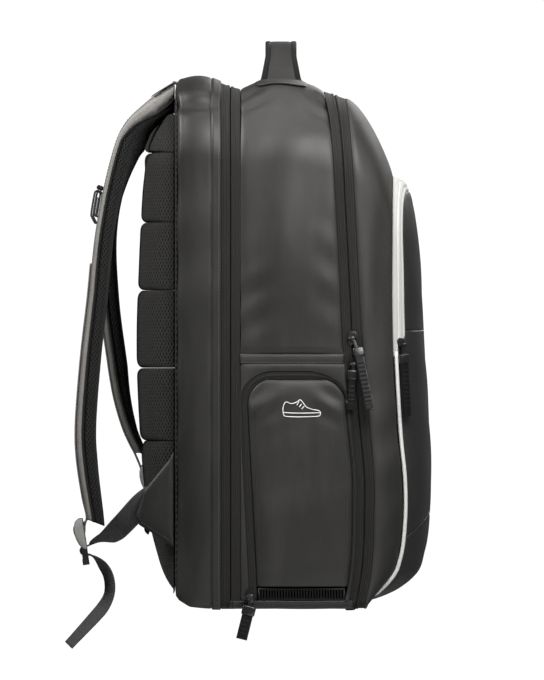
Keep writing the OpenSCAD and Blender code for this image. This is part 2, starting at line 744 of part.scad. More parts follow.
module piping() {
    proud = 1.6;
    sunk = 0.05;
    function stretch(ring, mirrored) = mirrored
        ? slice(ring, outline_last - zip_first, outline_last) : slice(ring, 0, zip_first);
    color(zip_white) hung()
        for (mirrored = [false, true])
            sheet([stretch(seam_ring(0, -proud), mirrored), stretch(seam_ring(piping_w, -proud), mirrored)],
                [stretch(seam_ring(0, -sunk), mirrored), stretch(seam_ring(piping_w, -sunk), mirrored)]);
}

// Inner wall of the front pocket
module pocket_wall() {
    low = 44;
    rear = -107.5;
    lining = 1.5;
    color(smooth_black) hung()
        plate_xz(lifted(seam_outline(wall + 1), low), rear - lining, rear);
}

panel_across = [1, 0.97, 0.9, 0.8, 0.5, 0, -0.5, -0.8, -0.9, -0.97, -1];

// Front surface between rows given as [height, inset from the seam]
module front_skin(rows) {
    function skin_row(row, shift) =
        let (half = arch_half(row[0], row[1]))
        [for (q = panel_across) [q*half, panel_y(row[0], q*half) + shift, row[0]]];
    sheet([for (row = rows) skin_row(row, 0)], [for (row = rows) skin_row(row, wall)]);
}

panel_gap = 0.5;
stitch_gap = 0.2;
toe_seam = 85;

module toe_panel() {
    heights = [5, 9, 12, 16, 20, 24, 33, 45, 58, 72, toe_seam - stitch_gap];
    color(smooth_black) hung() front_skin([for (z = heights) [z, piping_w + stitch_gap]]);
}

module lower_front_panel() {
    low = [toe_seam + stitch_gap, 102, 122, 160, 206, 245];
    color(smooth_black) hung()
        front_skin(concat([for (z = low) [z, piping_w + stitch_gap]],
            [[250, zip_inset + panel_gap], [pocket_fold - panel_gap, zip_inset + panel_gap]]));
}

// Upper front panel, which folds forward as the pocket's flap
module pocket_flap() {
    inset = zip_inset + panel_gap;
    top = seam_centre_z + seam_radius - inset;
    heights = [pocket_fold, 300, 325, 350, 375, 395, 408, top - 3, top];
    color(smooth_black) hung() front_skin([for (z = heights) [z, inset]]);
}

// Shoe door
door_gap = 1.5;
door_t = 2.4;

module shoe_flap() {
    color(coated) hung()
        plate_yz(-half_width, -half_width + door_t)
            intersection() {
                polygon(door_outline(-door_gap));
                translate([-200, door_low + clear]) square([400, 400]);
            }
}

// Zip sliders and pulls, drawn with X across the zip, Y up the zip and Z outwards
plate_t = 1.6;
bail_z = clear + plate_t + 2.6;
bail_half = 4.4;
knuckle_d = 4.2;
knuckle_l = 4.2;

// Places a slider: place on the tape's surface, turn about Z from facing the front, lean along the zip
module on_zip(place, turn, lean) {
    hung() translate(place) rotate([90, 0, turn]) rotate([0, 0, lean]) children();
}

// Slider body with its bail; one that rides on two tapes also has a post and a lower plate
module slider(both_tapes) {
    shield = [[-slider_w/2, slider_l/2 - 2], [-slider_w/2 + 2, slider_l/2], [slider_w/2 - 2, slider_l/2],
        [slider_w/2, slider_l/2 - 2], [slider_w/2, -slider_l*0.1], [slider_w*0.32, -slider_l/2],
        [-slider_w*0.32, -slider_l/2], [-slider_w/2, -slider_l*0.1]];
    post_w = 0.6;
    under = tape_inset + tape_t + clear;
    color(hard_black) {
        translate([0, 0, clear]) linear_extrude(plate_t) polygon(shield);
        for (side = [-1, 1])
            translate([side*(bail_half - 0.5) - 0.5, -1.2, clear + plate_t - 0.1])
                cube([1, 2.4, bail_z - clear - plate_t + bail_d/2 + 0.3]);
        translate([-bail_half + 0.2, 0, bail_z])
            rotate([0, 90, 0]) cylinder(d = bail_d, h = 2*bail_half - 0.4, $fn = 24);
        if (both_tapes) {
            translate([0, 0, -under - plate_t]) linear_extrude(plate_t) polygon(shield);
            translate([-post_w/2, slider_l/2 - 4, -under - 0.1]) cube([post_w, 3, under + clear + 0.2]);
        }
    }
}

// Pull: knuckle on the bail, a link and a moulded tab; tilts are taken in the plane of the zip
// rest is how far the pull stands off the zip where the panel below it bulges
module pull(link_l, link_tilt, tab_l, tab_w, tab_tilt, rest = 0) {
    tab_t = 3;
    bore = bail_d + 0.2;
    color(hard_black)
        translate([0, 0, bail_z]) rotate([-rest, 0, 0])
            difference() {
                union() {
                    translate([-knuckle_l/2, 0, 0])
                        rotate([0, 90, 0]) cylinder(d = knuckle_d, h = knuckle_l, $fn = 32);
                    rotate([0, 0, link_tilt]) translate([-1.5, -link_l, -1]) cube([3, link_l - 1.5, 2]);
                    rotate([0, 0, link_tilt]) translate([0, -link_l, 0]) rotate([0, 0, tab_tilt - link_tilt]) {
                        translate([-tab_w/2, -tab_l, -tab_t/2]) cube([tab_w, tab_l, tab_t]);
                        translate([0, 0, -tab_t/2]) cylinder(d = tab_w, h = tab_t, $fn = 40);
                    }
                }
                translate([-knuckle_l, 0, 0])
                    rotate([0, 90, 0]) cylinder(d = bore, h = 2*knuckle_l, $fn = 32);
            }
}

// Slopes of the straight zip stretches, in degrees from upright
function zip_lean(low, high) =
    atan((main_zip[high][1] - main_zip[low][1])/(main_zip[high][0] - main_zip[low][0]));
upper_lean = zip_lean(4, 5);
lower_lean = zip_lean(3, 4);
door_lean = atan((door_rear_top - door_rear_low)/(door_top - door_radius - door_low));
pocket_turn = -42.2;

// Heights of the sliders above the base, zips closed
upper_z = 271;
lower_z = 245;
pocket_z = 264;
racket_z = 56;
left_face = -90;
right_face = 90;

upper_place = [-half_width, lookup(upper_z, main_zip), upper_z];
lower_place = [-half_width, lookup(lower_z, main_zip), lower_z];
shoe_place = [-half_width, 30.5, 13];
pocket_x = panel_half - zip_inset/2;
pocket_y = (panel_y(pocket_z, panel_half) + panel_y(pocket_z, panel_half - zip_inset))/2;
pocket_place = [-pocket_x, pocket_y, pocket_z];
racket_place = [half_width, racket_zip_y, racket_z];

module main_slider_upper() { on_zip(upper_place, left_face, upper_lean) slider(true); }
module main_pull_upper() { on_zip(upper_place, left_face, upper_lean) pull(15, 22, 61, 8, 8, 13); }
module main_slider_lower() { on_zip(lower_place, left_face, lower_lean) slider(true); }
module main_pull_lower() { on_zip(lower_place, left_face, lower_lean) pull(10, -14, 36, 6.5, -8); }
module shoe_slider() { on_zip(shoe_place, left_face, door_lean) slider(false); }
module shoe_pull() { on_zip(shoe_place, left_face, door_lean) pull(14, -10, 30, 10.5, -17); }
module pocket_slider() { on_zip(pocket_place, pocket_turn, 0) slider(false); }
module pocket_pull() { on_zip(pocket_place, pocket_turn, 0) pull(13, 0, 58, 9, 0, 4); }
module racket_slider() { on_zip(racket_place, right_face, 0) slider(true); }
module racket_pull() { on_zip(racket_place, right_face, 0) pull(13, 0, 40, 10.5, 0); }

main_gusset();
shoe_surround();
shoe_zip_tape();
vent_grille();
base_panel();
base_board();
divider_panel();
shoe_tunnel();
handle_band();
handle_binding_front();
handle_binding_rear();
handle_patch();
racket_zip_tape_front();
main_zip_tape_rear();
racket_gusset();
back_panel();
back_sheet();
back_pad_1();
back_pad_2();
back_pad_3();
back_pad_4();
back_pad_5();
back_pad_6();
wing_left();
wing_right();
racket_zip_tape_rear();
strap_shell_left();
strap_pad_left();
strap_overlay_left();
keeper_left();
keeper_bar_left();
ladder_lock_left();
webbing_left();
strap_shell_right();
strap_pad_right();
strap_overlay_right();
keeper_right();
keeper_bar_right();
ladder_lock_right();
webbing_right();
front_gusset();
main_zip_tape_front();
pocket_zip_tape();
piping();
pocket_wall();
lower_front_panel();
toe_panel();
pocket_flap();
shoe_flap();
shoe_slider();
shoe_pull();
main_slider_upper();
main_pull_upper();
main_slider_lower();
main_pull_lower();
pocket_slider();
pocket_pull();
racket_slider();
racket_pull();
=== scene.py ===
"""Looks of the racket backpack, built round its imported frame.

Lengths in this file are millimetres, with heights counted from the base of the bag. put() turns them
into metres from the underside of the carry handle, which is the frame's origin.
The wearer's left is -X, the front of the bag is -Y and Z is up.
"""

import logging
import math
from dataclasses import dataclass
from enum import Enum
from typing import Callable, Optional, Sequence

import bmesh
import bpy
import numpy as np
from mathutils import Matrix, Vector


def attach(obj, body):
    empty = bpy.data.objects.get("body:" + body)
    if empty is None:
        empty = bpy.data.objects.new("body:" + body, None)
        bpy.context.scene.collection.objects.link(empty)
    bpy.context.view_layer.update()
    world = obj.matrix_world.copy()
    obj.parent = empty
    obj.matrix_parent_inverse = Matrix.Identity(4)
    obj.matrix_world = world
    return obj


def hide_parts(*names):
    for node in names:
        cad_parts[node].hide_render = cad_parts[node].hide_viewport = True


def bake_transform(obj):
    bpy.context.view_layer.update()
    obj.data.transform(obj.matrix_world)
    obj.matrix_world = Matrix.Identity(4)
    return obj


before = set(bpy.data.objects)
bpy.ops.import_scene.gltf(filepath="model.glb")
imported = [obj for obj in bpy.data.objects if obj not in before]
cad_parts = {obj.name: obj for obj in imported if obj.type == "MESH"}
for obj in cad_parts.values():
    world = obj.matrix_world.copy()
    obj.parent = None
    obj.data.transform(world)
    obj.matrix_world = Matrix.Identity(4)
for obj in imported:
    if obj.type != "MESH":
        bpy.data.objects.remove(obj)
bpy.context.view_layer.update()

log = logging.getLogger("backpack")
Points = np.ndarray
Table = Sequence[Sequence[float]]
Colour = tuple[float, float, float]
Material = bpy.types.Material
Mesh = bpy.types.Mesh
Node = bpy.types.Node
Piece = bpy.types.Object
Socket = bpy.types.NodeSocket
Tree = bpy.types.NodeTree

GRIP_Z = 565.0
MM = 0.001
TINY = 1e-9
FAR = 999.0
WELD_GAP = 1e-6
FLAT_ANGLE = math.radians(1.0)
EDGE_ANGLE = math.radians(35.0)
TO_LEFT = (-1.0, 0.0, 0.0)
TO_RIGHT = (1.0, 0.0, 0.0)
BOTH_SIDES = (-1, 1)
STITCH_PITCH = 3.4
STITCH_LENGTH = 2.5
STITCH_RADIUS = 0.32


class Body(Enum):
    """Moving bodies of the bag."""

    MAIN = "main_bag"
    RACKET = "racket_shell"
    FRONT = "front_shell"
    POCKET = "pocket_flap"
    SHOE = "shoe_flap"


class Side(Enum):
    """Side of the wearer, as the sign of X."""

    LEFT = -1
    RIGHT = 1

    @property
    def word(self) -> str:
        """Lower-case name used in piece names."""
        return self.name.lower()


def put(points: Points) -> Points:
    """Millimetres from the base become metres from the handle's underside."""
    return (np.asarray(points, float) - (0.0, 0.0, GRIP_Z)) * MM


def unit(vectors: Points) -> Points:
    """Vectors scaled to length one along their last axis."""
    size = np.linalg.norm(vectors, axis=-1, keepdims=True)
    return vectors / np.maximum(size, TINY)


def heading(route: Points) -> Points:
    """Unit direction of a route at each of its points."""
    return unit(np.gradient(route, axis=0))


def upright(route: Points, sideways: Sequence[float]) -> Points:
    """Direction at each point of a route that is square to it and to a sideways direction."""
    return np.cross(heading(route), sideways)


def points_of(*parts: Points) -> Points:
    """Points from separate coordinates, each spread to their common shape."""
    return np.stack(np.broadcast_arrays(*parts), -1)


def ramp(x: Points, start: float, end: float) -> Points:
    """Share of the way from one place to another, kept between 0 and 1."""
    return np.clip((x - start) / (end - start), 0, 1)


def bell(x: Points, centre: float, width: float, power: int = 2) -> Points:
    """Soft peak of height one at a centre; a higher power gives a flatter top and steeper sides."""
    return np.exp(-((x - centre) / width) ** power)


def both_ends(f: Points, rate: float) -> Points:
    """Falls from one at both ends of a run from 0 to 1."""
    return np.exp(-f * rate) + np.exp(-(1 - f) * rate)


def across_places(count: int) -> Points:
    """Places from -1 to 1 that crowd towards both sides."""
    return np.sin(np.linspace(-np.pi / 2, np.pi / 2, count))


def signed_power(values: Points, power: float) -> Points:
    """Power of the size of each value, with the value's own sign."""
    return np.sign(values) * np.abs(values) ** power


def mirrored(half: Points) -> Points:
    """Left half of a flat outline joined to its mirror image."""
    return np.concatenate([half, half[-2::-1] * (-1, 1)])


def turned(flat: Points, angle: float) -> Points:
    """Flat points turned about their origin by an angle in radians."""
    x, y = flat[..., 0], flat[..., 1]
    return points_of(x * math.cos(angle) - y * math.sin(angle), x * math.sin(angle) + y * math.cos(angle))


def pillow(rim: Points, centre: Sequence[float], steps: int, height: float,
           power: float) -> tuple[Points, Points]:
    """Rings from a flat rim in to its centre, and how far each of their points stands out.

    Args:
        rim: Flat outline.
        centre: Flat place that the rings close in on.
        steps: Count of rings.
        height: How far the centre stands out.
        power: Power of the distance from the centre by which the height falls; higher is flatter.

    Returns:
        Flat points and heights, as rings and places round them.
    """
    f = np.sin(np.linspace(np.pi / 2, 0, steps))[:, None]
    flat = centre + (rim - centre)[None] * f[..., None]
    return flat, height * (1 - f ** power) * np.ones(len(rim))


def straight_lookup(x: Points, table: Table) -> Points:
    """Value of straight stretches through (place, value) pairs."""
    return np.interp(x, *np.transpose(table))


def curve_lookup(x: Points, table: Table) -> Points:
    """Value of a smooth curve through (place, value) pairs.

    Cubic Hermite pieces whose slopes are the central differences of the table, flat beyond its ends.

    Args:
        x: Places to read.
        table: Pairs with rising places.

    Returns:
        Values, shaped like x.
    """
    pairs = np.asarray(table, float)
    xs, ys = pairs[:, 0], pairs[:, 1]
    slope = np.gradient(ys, xs)
    i = np.clip(np.searchsorted(xs, x) - 1, 0, len(xs) - 2)
    h = xs[i + 1] - xs[i]
    t = np.clip((x - xs[i]) / h, 0.0, 1.0)
    low = (2 * t - 3) * t * t
    return ((low + 1) * ys[i] + ((t - 2) * t + 1) * t * h * slope[i]
            - low * ys[i + 1] + (t - 1) * t * t * h * slope[i + 1])


def smooth_route(route: Table, steps: int) -> Points:
    """Catmull-Rom curve through given rows of numbers.

    Args:
        route: Rows, each with the same count of numbers.
        steps: Points for each stretch between two rows.

    Returns:
        Rows along the curve, both ends included.
    """
    p = np.asarray(route, float)
    n = len(p) - 1
    s = np.linspace(0, n, n * steps + 1)
    i = np.minimum(s.astype(int), n - 1)
    t = (s - i)[:, None]
    a, b = p[np.maximum(i - 1, 0)], p[i]
    c, d = p[i + 1], p[np.minimum(i + 2, n)]
    bend = 2 * a - 5 * b + 4 * c - d
    return 0.5 * (2 * b + (c - a) * t + bend * t ** 2 + (3 * b - a - 3 * c + d) * t ** 3)


def arc(centre: tuple[float, float], radius: float, start: float, stop: float, steps: int) -> Points:
    """Points of a circle's arc between two angles in degrees, both ends included."""
    a = np.radians(np.linspace(start, stop, steps + 1))
    return np.stack([centre[0] + radius * np.cos(a), centre[1] + radius * np.sin(a)], -1)


def run_lengths(points: Points) -> Points:
    """Distance along a polyline at each of its points."""
    return np.concatenate([[0.0], np.cumsum(np.linalg.norm(np.diff(points, axis=0), axis=1))])


def spaced(points: Points, pitch: float) -> Points:
    """Points at an even pitch along a polyline.

    Args:
        points: Rows of x, y and z; extra columns are carried along.
        pitch: Distance between two points.

    Returns:
        Rows like those of points.
    """
    along = run_lengths(points[:, :3])
    places = np.arange(pitch / 2, along[-1], pitch)
    return np.stack([np.interp(places, along, column) for column in points.T], -1)


def edge_spaced(steps: int, crowd: float = 0.6) -> Points:
    """Fractions from 0 to 1 that crowd towards both ends; crowd 0 is even and 1 a full cosine."""
    t = np.linspace(0, 1, steps + 1)
    return (1 - crowd) * t + crowd * (0.5 - 0.5 * np.cos(np.pi * t))


def grid_normals(grid: Points, closed: bool = False) -> Points:
    """Outward normals of a grid: row direction crossed with column direction.

    Args:
        grid: Points as rows, columns, three.
        closed: Whether the last column meets the first.

    Returns:
        Unit vectors, shaped like grid.
    """
    down = np.gradient(grid, axis=0)
    if closed:
        across = np.roll(grid, -1, axis=1) - np.roll(grid, 1, axis=1)
    else:
        across = np.gradient(grid, axis=1)
    return unit(np.cross(down, across))


def pushed(grid: Points, amount: Points, closed: bool = False) -> Points:
    """Grid moved along its own normals by an amount at each point."""
    return grid + grid_normals(grid, closed) * np.asarray(amount)[..., None]


@dataclass(frozen=True)
class Fold:
    """Soft bump on a surface, or lines of folds that fade out like one.

    A bump is its height times the exponential of minus the squared distance in units of its size. Fold
    lines multiply that by a sine of the distance along a direction.
    """

    centre: Sequence[float]
    size: Sequence[float]
    height: float
    along: Sequence[float] = (0.0, 0.0, 0.0)
    wave: float = 0.0

    def amount(self, points: Points, sign: int) -> Points:
        """Height of the fold at each point.

        Args:
            points: Places on the surface.
            sign: Side of the bag, by which the centre's x is multiplied.

        Returns:
            One height for each point.
        """
        away = (points - np.multiply(self.centre, (sign, 1.0, 1.0))) / np.asarray(self.size, float)
        bump = self.height * np.exp(-np.sum(away ** 2, axis=-1))
        if not self.wave:
            return bump
        return np.sin(points @ unit(np.asarray(self.along, float)) * (2 * np.pi / self.wave)) * bump


def folds_on(points: Points, folds: Sequence[Fold], signs: Sequence[int] = (1,)) -> Points:
    """Sum of folds at each point, every fold set once for each sign of x."""
    return sum(fold.amount(points, sign) for sign in signs for fold in folds)


def mesh_from(name: str, points: Points, groups: Sequence[Points], uv: Optional[Points] = None) -> Mesh:
    """Smooth mesh from arrays of points and polygons.

    Args:
        name: Name of the mesh.
        points: Vertices in millimetres from the base.
        groups: Index arrays, one for each polygon size.
        uv: Optional place on the cloth in metres for every polygon corner, in the order of groups.

    Returns:
        The new mesh.
    """
    mesh = bpy.data.meshes.new(name)
    corners = np.concatenate([np.ravel(g) for g in groups]).astype(np.int32)
    sizes = np.concatenate([np.full(len(g), np.shape(g)[1]) for g in groups]).astype(np.int32)
    starts = np.concatenate([[0], np.cumsum(sizes)[:-1]]).astype(np.int32)
    mesh.vertices.add(len(points))
    mesh.vertices.foreach_set("co", put(points).astype(np.float32).ravel())
    mesh.loops.add(len(corners))
    mesh.loops.foreach_set("vertex_index", corners)
    mesh.polygons.add(len(sizes))
    mesh.polygons.foreach_set("loop_start", starts)
    mesh.polygons.foreach_set("loop_total", sizes)
    mesh.polygons.foreach_set("use_smooth", np.ones(len(sizes), bool))
    if uv is not None:
        layer = mesh.uv_layers.new(name="cloth")
        layer.data.foreach_set("uv", np.asarray(uv, np.float32).ravel())
    mesh.update(calc_edges=True)
    mesh.validate()
    return mesh


def new_piece(name: str, mesh: Mesh, body: str, *finishes: Material) -> Piece:
    """Object at the origin that rides on a body and wears its finishes.

    Args:
        name: Name of the piece.
        mesh: Its mesh.
        body: Body that it rides on, empty if it spans two and rides on neither.
        finishes: Materials in slot order.

    Returns:
        The new piece.
    """
    piece = bpy.data.objects.new(name, mesh)
    bpy.context.scene.collection.objects.link(piece)
    for finish in finishes:
        mesh.materials.append(finish)
    if body:
        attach(piece, body)
    log.info("%s: %d polygons on %s", name, len(mesh.polygons), body or "two bodies")
    return piece


def cell_indices(rows: int, cols: int, closed: bool) -> tuple[Points, Points, Points]:
    """Corners of a grid's cells, ordered so that row crossed with column points out.

    Args:
        rows: Rows of the grid.
        cols: Columns of the grid.
        closed: Whether the last column meets the first.

    Returns:
        Row, column and vertex of each cell's four corners.
    """
    wide = cols if closed else cols - 1
    i, j = np.meshgrid(np.arange(rows - 1), np.arange(wide), indexing="ij")
    ci = np.stack([i, i + 1, i + 1, i], -1).reshape(-1, 4)
    cj = np.stack([j, j, j + 1, j + 1], -1).reshape(-1, 4)
    return ci, cj, ci * cols + cj % cols


def cloth_cells(grid: Points, closed: bool) -> tuple[Points, Points, Points]:
    """Cells of a grid and their places on the cloth.

    Args:
        grid: Points as rows, columns, three.
        closed: Whether the last column meets the first.

    Returns:
        Cells, the cloth place of each cell corner, and the distances in metres along the middle row.
    """
    ci, cj, cells = cell_indices(*grid.shape[:2], closed)
    middle = grid[len(grid) // 2]
    if closed:
        middle = np.concatenate([middle, middle[:1]])
    across = run_lengths(middle) * MM
    down = run_lengths(grid[:, grid.shape[1] // 2]) * MM
    return cells, np.stack([across[cj], down[ci]], -1), across


def cloth_grid(name: str, grid: Points, body: str, *finishes: Material, closed: bool = False,
               thick: float = 0.0) -> Piece:
    """Sheet of cloth on a grid of points, with its thread directions as UV.

    Args:
        name: Name of the piece.
        grid: Points in millimetres as rows, columns, three; row crossed with column points out.
        body: Body that it rides on.
        finishes: Outer finish, and an optional second one for the inside.
        closed: Whether the last column meets the first.
        thick: Thickness laid inwards, none if zero.

    Returns:
        The new piece.
    """
    cells, uv, _ = cloth_cells(grid, closed)
    piece = new_piece(name, mesh_from(name, grid.reshape(-1, 3), [cells], uv), body, *finishes)
    if thick:
        wall = piece.modifiers.new("thickness", "SOLIDIFY")
        wall.thickness = thick * MM
        wall.offset = -1.0
        wall.material_offset = len(finishes) - 1
    return piece


def closed_form(name: str, grid: Points, bottom: Points, body: str, finish: Material) -> Piece:
    """Closed form between an upper grid and a lower grid that share their rim.

    Args:
        name: Name of the piece.
        grid: Upper points as rows, columns, three.
        bottom: Lower points of the same shape; its rim is left out, because the upper one closes it.
        body: Body that it rides on, empty if it spans two and rides on neither.
        finish: Its finish.

    Returns:
        The new piece.
    """
    rows, cols = grid.shape[:2]
    cells, uv, _ = cloth_cells(grid, False)
    inner = np.zeros((rows, cols), bool)
    inner[1:-1, 1:-1] = True
    index = np.arange(rows * cols).reshape(rows, cols)
    index[inner] = rows * cols + np.arange(inner.sum())
    under = index.ravel()[cells[:, ::-1]]
    points = np.concatenate([grid.reshape(-1, 3), bottom[inner]])
    mesh = mesh_from(name, points, [cells, under], np.concatenate([uv, uv[:, ::-1]]))
    return new_piece(name, mesh, body, finish)


def carried(route: Points, up: Points, profile: Points) -> Points:
    """Grid of a closed profile carried along a route.

    Args:
        route: Points along the path.
        up: Wished up direction, one for all points or one for each.
        profile: Points as sideways and up distances, either one outline or one for each route point.

    Returns:
        Grid with one row for each route point; profiles that run clockwise, seen along the route, face out.
    """
    forward = heading(route)
    sideways = unit(np.cross(up, forward))
    rise = np.cross(forward, sideways)
    shape = np.broadcast_to(profile, (len(route),) + np.shape(profile)[-2:])
    return route[:, None] + shape[..., :1] * sideways[:, None] + shape[..., 1:] * rise[:, None]


def tube_piece(name: str, route: Points, up: Points, profile: Points, body: str, finish: Material) -> Piece:
    """Closed profile carried along an open route, with both ends capped.

    Args:
        name: Name of the piece.
        route: Points along the path.
        up: Wished up direction, one for all points or one for each.
        profile: Closed profile, one for all points or one for each.
        body: Body that it rides on, empty if it spans two and rides on neither.
        finish: Its finish.

    Returns:
        The new piece.
    """
    grid = carried(route, up, profile)
    rows, cols = grid.shape[:2]
    cells, uv, across = cloth_cells(grid, True)
    cap_uv = points_of(across[:-1], 0.0)
    mesh = mesh_from(name, grid.reshape(-1, 3), [cells, end_caps(rows, cols)],
                     np.concatenate([uv.reshape(-1, 2), cap_uv, cap_uv]))
    return new_piece(name, mesh, body, finish)


def end_caps(rows: int, cols: int) -> Points:
    """Polygons that close the first and the last row of a closed grid."""
    return np.stack([np.arange(cols), (rows - 1) * cols + np.arange(cols)[::-1]])


def round_profile(radius: float, sides: int, flat: float = 1.0) -> Points:
    """Circle or flattened circle as a closed profile that faces out when carried along a route."""
    a = np.linspace(0, 2 * np.pi, sides, endpoint=False)
    return np.stack([radius * np.cos(a), -radius * flat * np.sin(a)], -1)


def slab_profile(half: float, thick: float, sides: int = 20, power: float = 5.0) -> Points:
    """Rounded flat slab as a closed profile that faces out when carried: a superellipse.

    Args:
        half: Half width.
        thick: Whole thickness.
        sides: Points of the outline.
        power: Power of the superellipse; higher is squarer.

    Returns:
        Points as sideways and up distances.
    """
    a = np.linspace(0, 2 * np.pi, sides, endpoint=False)
    x, z = (signed_power(wave, 2 / power) for wave in (np.cos(a), np.sin(a)))
    return points_of(half * x, -thick / 2 * z)


def repeated(name: str, shape: Points, faces: Sequence[Points], places: Points, axes: Sequence[Points],
             body: str, finish: Material) -> Piece:
    """One small shape set many times: place plus each of its coordinates times an axis.

    Args:
        name: Name of the piece.
        shape: Points of the small shape in its own axes.
        faces: Index arrays, one for each polygon size.
        places: Where each copy stands.
        axes: Three arrays of directions, one direction for each copy.
        body: Body that it rides on.
        finish: Finish of all copies.

    Returns:
        The new piece.
    """
    points = places[:, None] + sum(shape[None, :, k, None] * axes[k][:, None] for k in range(3))
    step = (np.arange(len(places)) * len(shape))[:, None, None]
    groups = [(g[None] + step).reshape(-1, g.shape[1]) for g in faces]
    return new_piece(name, mesh_from(name, points.reshape(-1, 3), groups), body, finish)


def spindle(length: float, radius: float, sides: int = 5) -> tuple[Points, list[Points]]:
    """Rounded thread stitch along its first axis: rings whose radii swell towards the middle.

    Args:
        length: Whole length.
        radius: Radius in the middle.
        sides: Points of each ring.

    Returns:
        Points, and index arrays for each polygon size.
    """
    stations = np.array([-0.5, -0.36, 0.0, 0.36, 0.5]) * length
    girth = np.array([0.35, 0.85, 1.0, 0.85, 0.35]) * radius
    a = np.linspace(0, 2 * np.pi, sides, endpoint=False)
    points = points_of(stations[:, None], girth[:, None] * np.cos(a), girth[:, None] * np.sin(a))
    _, _, cells = cell_indices(len(stations), sides, True)
    return points.reshape(-1, 3), [cells[:, ::-1], end_caps(len(stations), sides)[:, ::-1]]


def stitches(name: str, route: Points, out: Points, body: str, finish: Material) -> Piece:
    """Row of thread stitches along a route, each sunk halfway into the cloth.

    Args:
        name: Name of the piece.
        route: Points along the seam.
        out: Outward direction, one for all points or one for each.
        body: Body that it rides on.
        finish: Thread finish.

    Returns:
        The new piece.
    """
    rows = spaced(np.concatenate([route, np.broadcast_to(out, route.shape)], -1), STITCH_PITCH)
    places, rise = rows[:, :3], unit(rows[:, 3:])
    forward = heading(places)
    shape, faces = spindle(STITCH_LENGTH, STITCH_RADIUS)
    return repeated(name, shape, faces, places, [forward, np.cross(rise, forward), rise], body, finish)


def weld(mesh: Mesh, flatten: bool = False) -> None:
    """Merges points that fall together, as at the middle of a disc.

    Args:
        mesh: Mesh to change.
        flatten: Whether edges between level faces are dissolved too.
    """
    work = bmesh.new()
    work.from_mesh(mesh)
    bmesh.ops.remove_doubles(work, verts=work.verts, dist=WELD_GAP)
    if flatten:
        bmesh.ops.dissolve_limit(work, angle_limit=FLAT_ANGLE, verts=work.verts, edges=work.edges)
    work.to_mesh(mesh)
    work.free()


def rounded_copy(name: str, node: str, body: str, finish: Material, width: float, segments: int = 2) -> Piece:
    """Copy of a rigid CAD node with its edges rounded, standing for that node.

    Args:
        name: Name of the piece.
        node: CAD node to copy.
        body: Body that it rides on.
        finish: Finish of the copy.
        width: Width of the rounded edges.
        segments: Steps of the rounding.

    Returns:
        The new piece.
    """
    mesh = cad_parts[node].data.copy()
    mesh.name = name
    mesh.materials.clear()
    weld(mesh, flatten=True)
    mesh.polygons.foreach_set("use_smooth", np.ones(len(mesh.polygons), bool))
    piece = new_piece(name, mesh, body, finish)
    edge = piece.modifiers.new("rounded", "BEVEL")
    edge.width = width * MM
    edge.segments = segments
    edge.limit_method = "ANGLE"
    edge.angle_limit = EDGE_ANGLE
    edge.harden_normals = True
    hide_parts(node)
    return piece


class Graph:
    """Adds and joins nodes of one node tree."""

    def __init__(self, tree: Tree) -> None:
        """Keeps the tree that nodes go into."""
        self.tree = tree

    def add(self, kind: str, **values: object) -> Node:
        """New node of a kind with its settings.

        Args:
            kind: Type of the node.
            values: Its settings by name.

        Returns:
            The new node.
        """
        node = self.tree.nodes.new(kind)
        for key, value in values.items():
            setattr(node, key, value)
        return node

    def feed(self, socket: Socket, value: object) -> None:
        """Joins an output to a socket, or sets the socket's own value.

        Args:
            socket: Input to feed.
            value: Output to join to it, or the value to set.
        """
        if isinstance(value, Socket):
            self.tree.links.new(value, socket)
        else:
            socket.default_value = value

    def calc(self, operation: str, *values: object) -> Socket:
        """Result of a Math node.

        Args:
            operation: What the node works out.
            values: Its inputs in order.

        Returns:
            The result's socket.
        """
        node = self.add("ShaderNodeMath", operation=operation)
        for socket, value in zip(node.inputs, values):
            self.feed(socket, value)
        return node.outputs[0]

    def spread(self, value: Socket, low: float, high: float, to_low: float = 0.0,
               to_high: float = 1.0) -> Socket:
        """Smooth step of a value.

        Args:
            value: Value to read.
            low: Where the step starts.
            high: Where the step ends.
            to_low: Result below the step.
            to_high: Result above the step.

        Returns:
            The result's socket.
        """
        node = self.add("ShaderNodeMapRange", interpolation_type="SMOOTHSTEP")
        for socket, entry in zip(node.inputs, (value, low, high, to_low, to_high)):
            self.feed(socket, entry)
        return node.outputs[0]

    def fill(self, node: Node, values: dict[str, object]) -> None:
        """Feeds sockets of a node by their names."""
        for key, value in values.items():
            self.feed(node.inputs[key], value)

    def noise(self, place: Socket, scale: float, detail: float, rough: float = 0.5) -> Socket:
        """Value of a noise texture.

        Args:
            place: Place to read it at.
            scale: Count of waves in a metre.
            detail: Layers of finer noise.
            rough: Weight of the finer layers.

        Returns:
            The value's socket.
        """
        node = self.add("ShaderNodeTexNoise")
        self.fill(node, {"Vector": place, "Scale": scale, "Detail": detail, "Roughness": rough})
        return node.outputs["Fac"]

    def blend(self, factor: Socket, first: object, second: object) -> Socket:
        """Colour between two colours.

        Args:
            factor: Share of the second colour.
            first: Colour at zero.
            second: Colour at one.

        Returns:
            The colour's socket.
        """
        node = self.add("ShaderNodeMix", data_type="RGBA")
        for place, entry in ((0, factor), (6, first), (7, second)):
            self.feed(node.inputs[place], entry)
        return node.outputs[2]

    def place_group(self, group: Tree, **values: object) -> Node:
        """Shared effect placed in this tree with its own values.

        Args:
            group: Node group of the effect.
            values: Its inputs by lower-case name.

        Returns:
            The new node.
        """
        node = self.add("ShaderNodeGroup", node_tree=group)
        for key, value in values.items():
            self.feed(node.inputs[key.capitalize()], value)
        return node


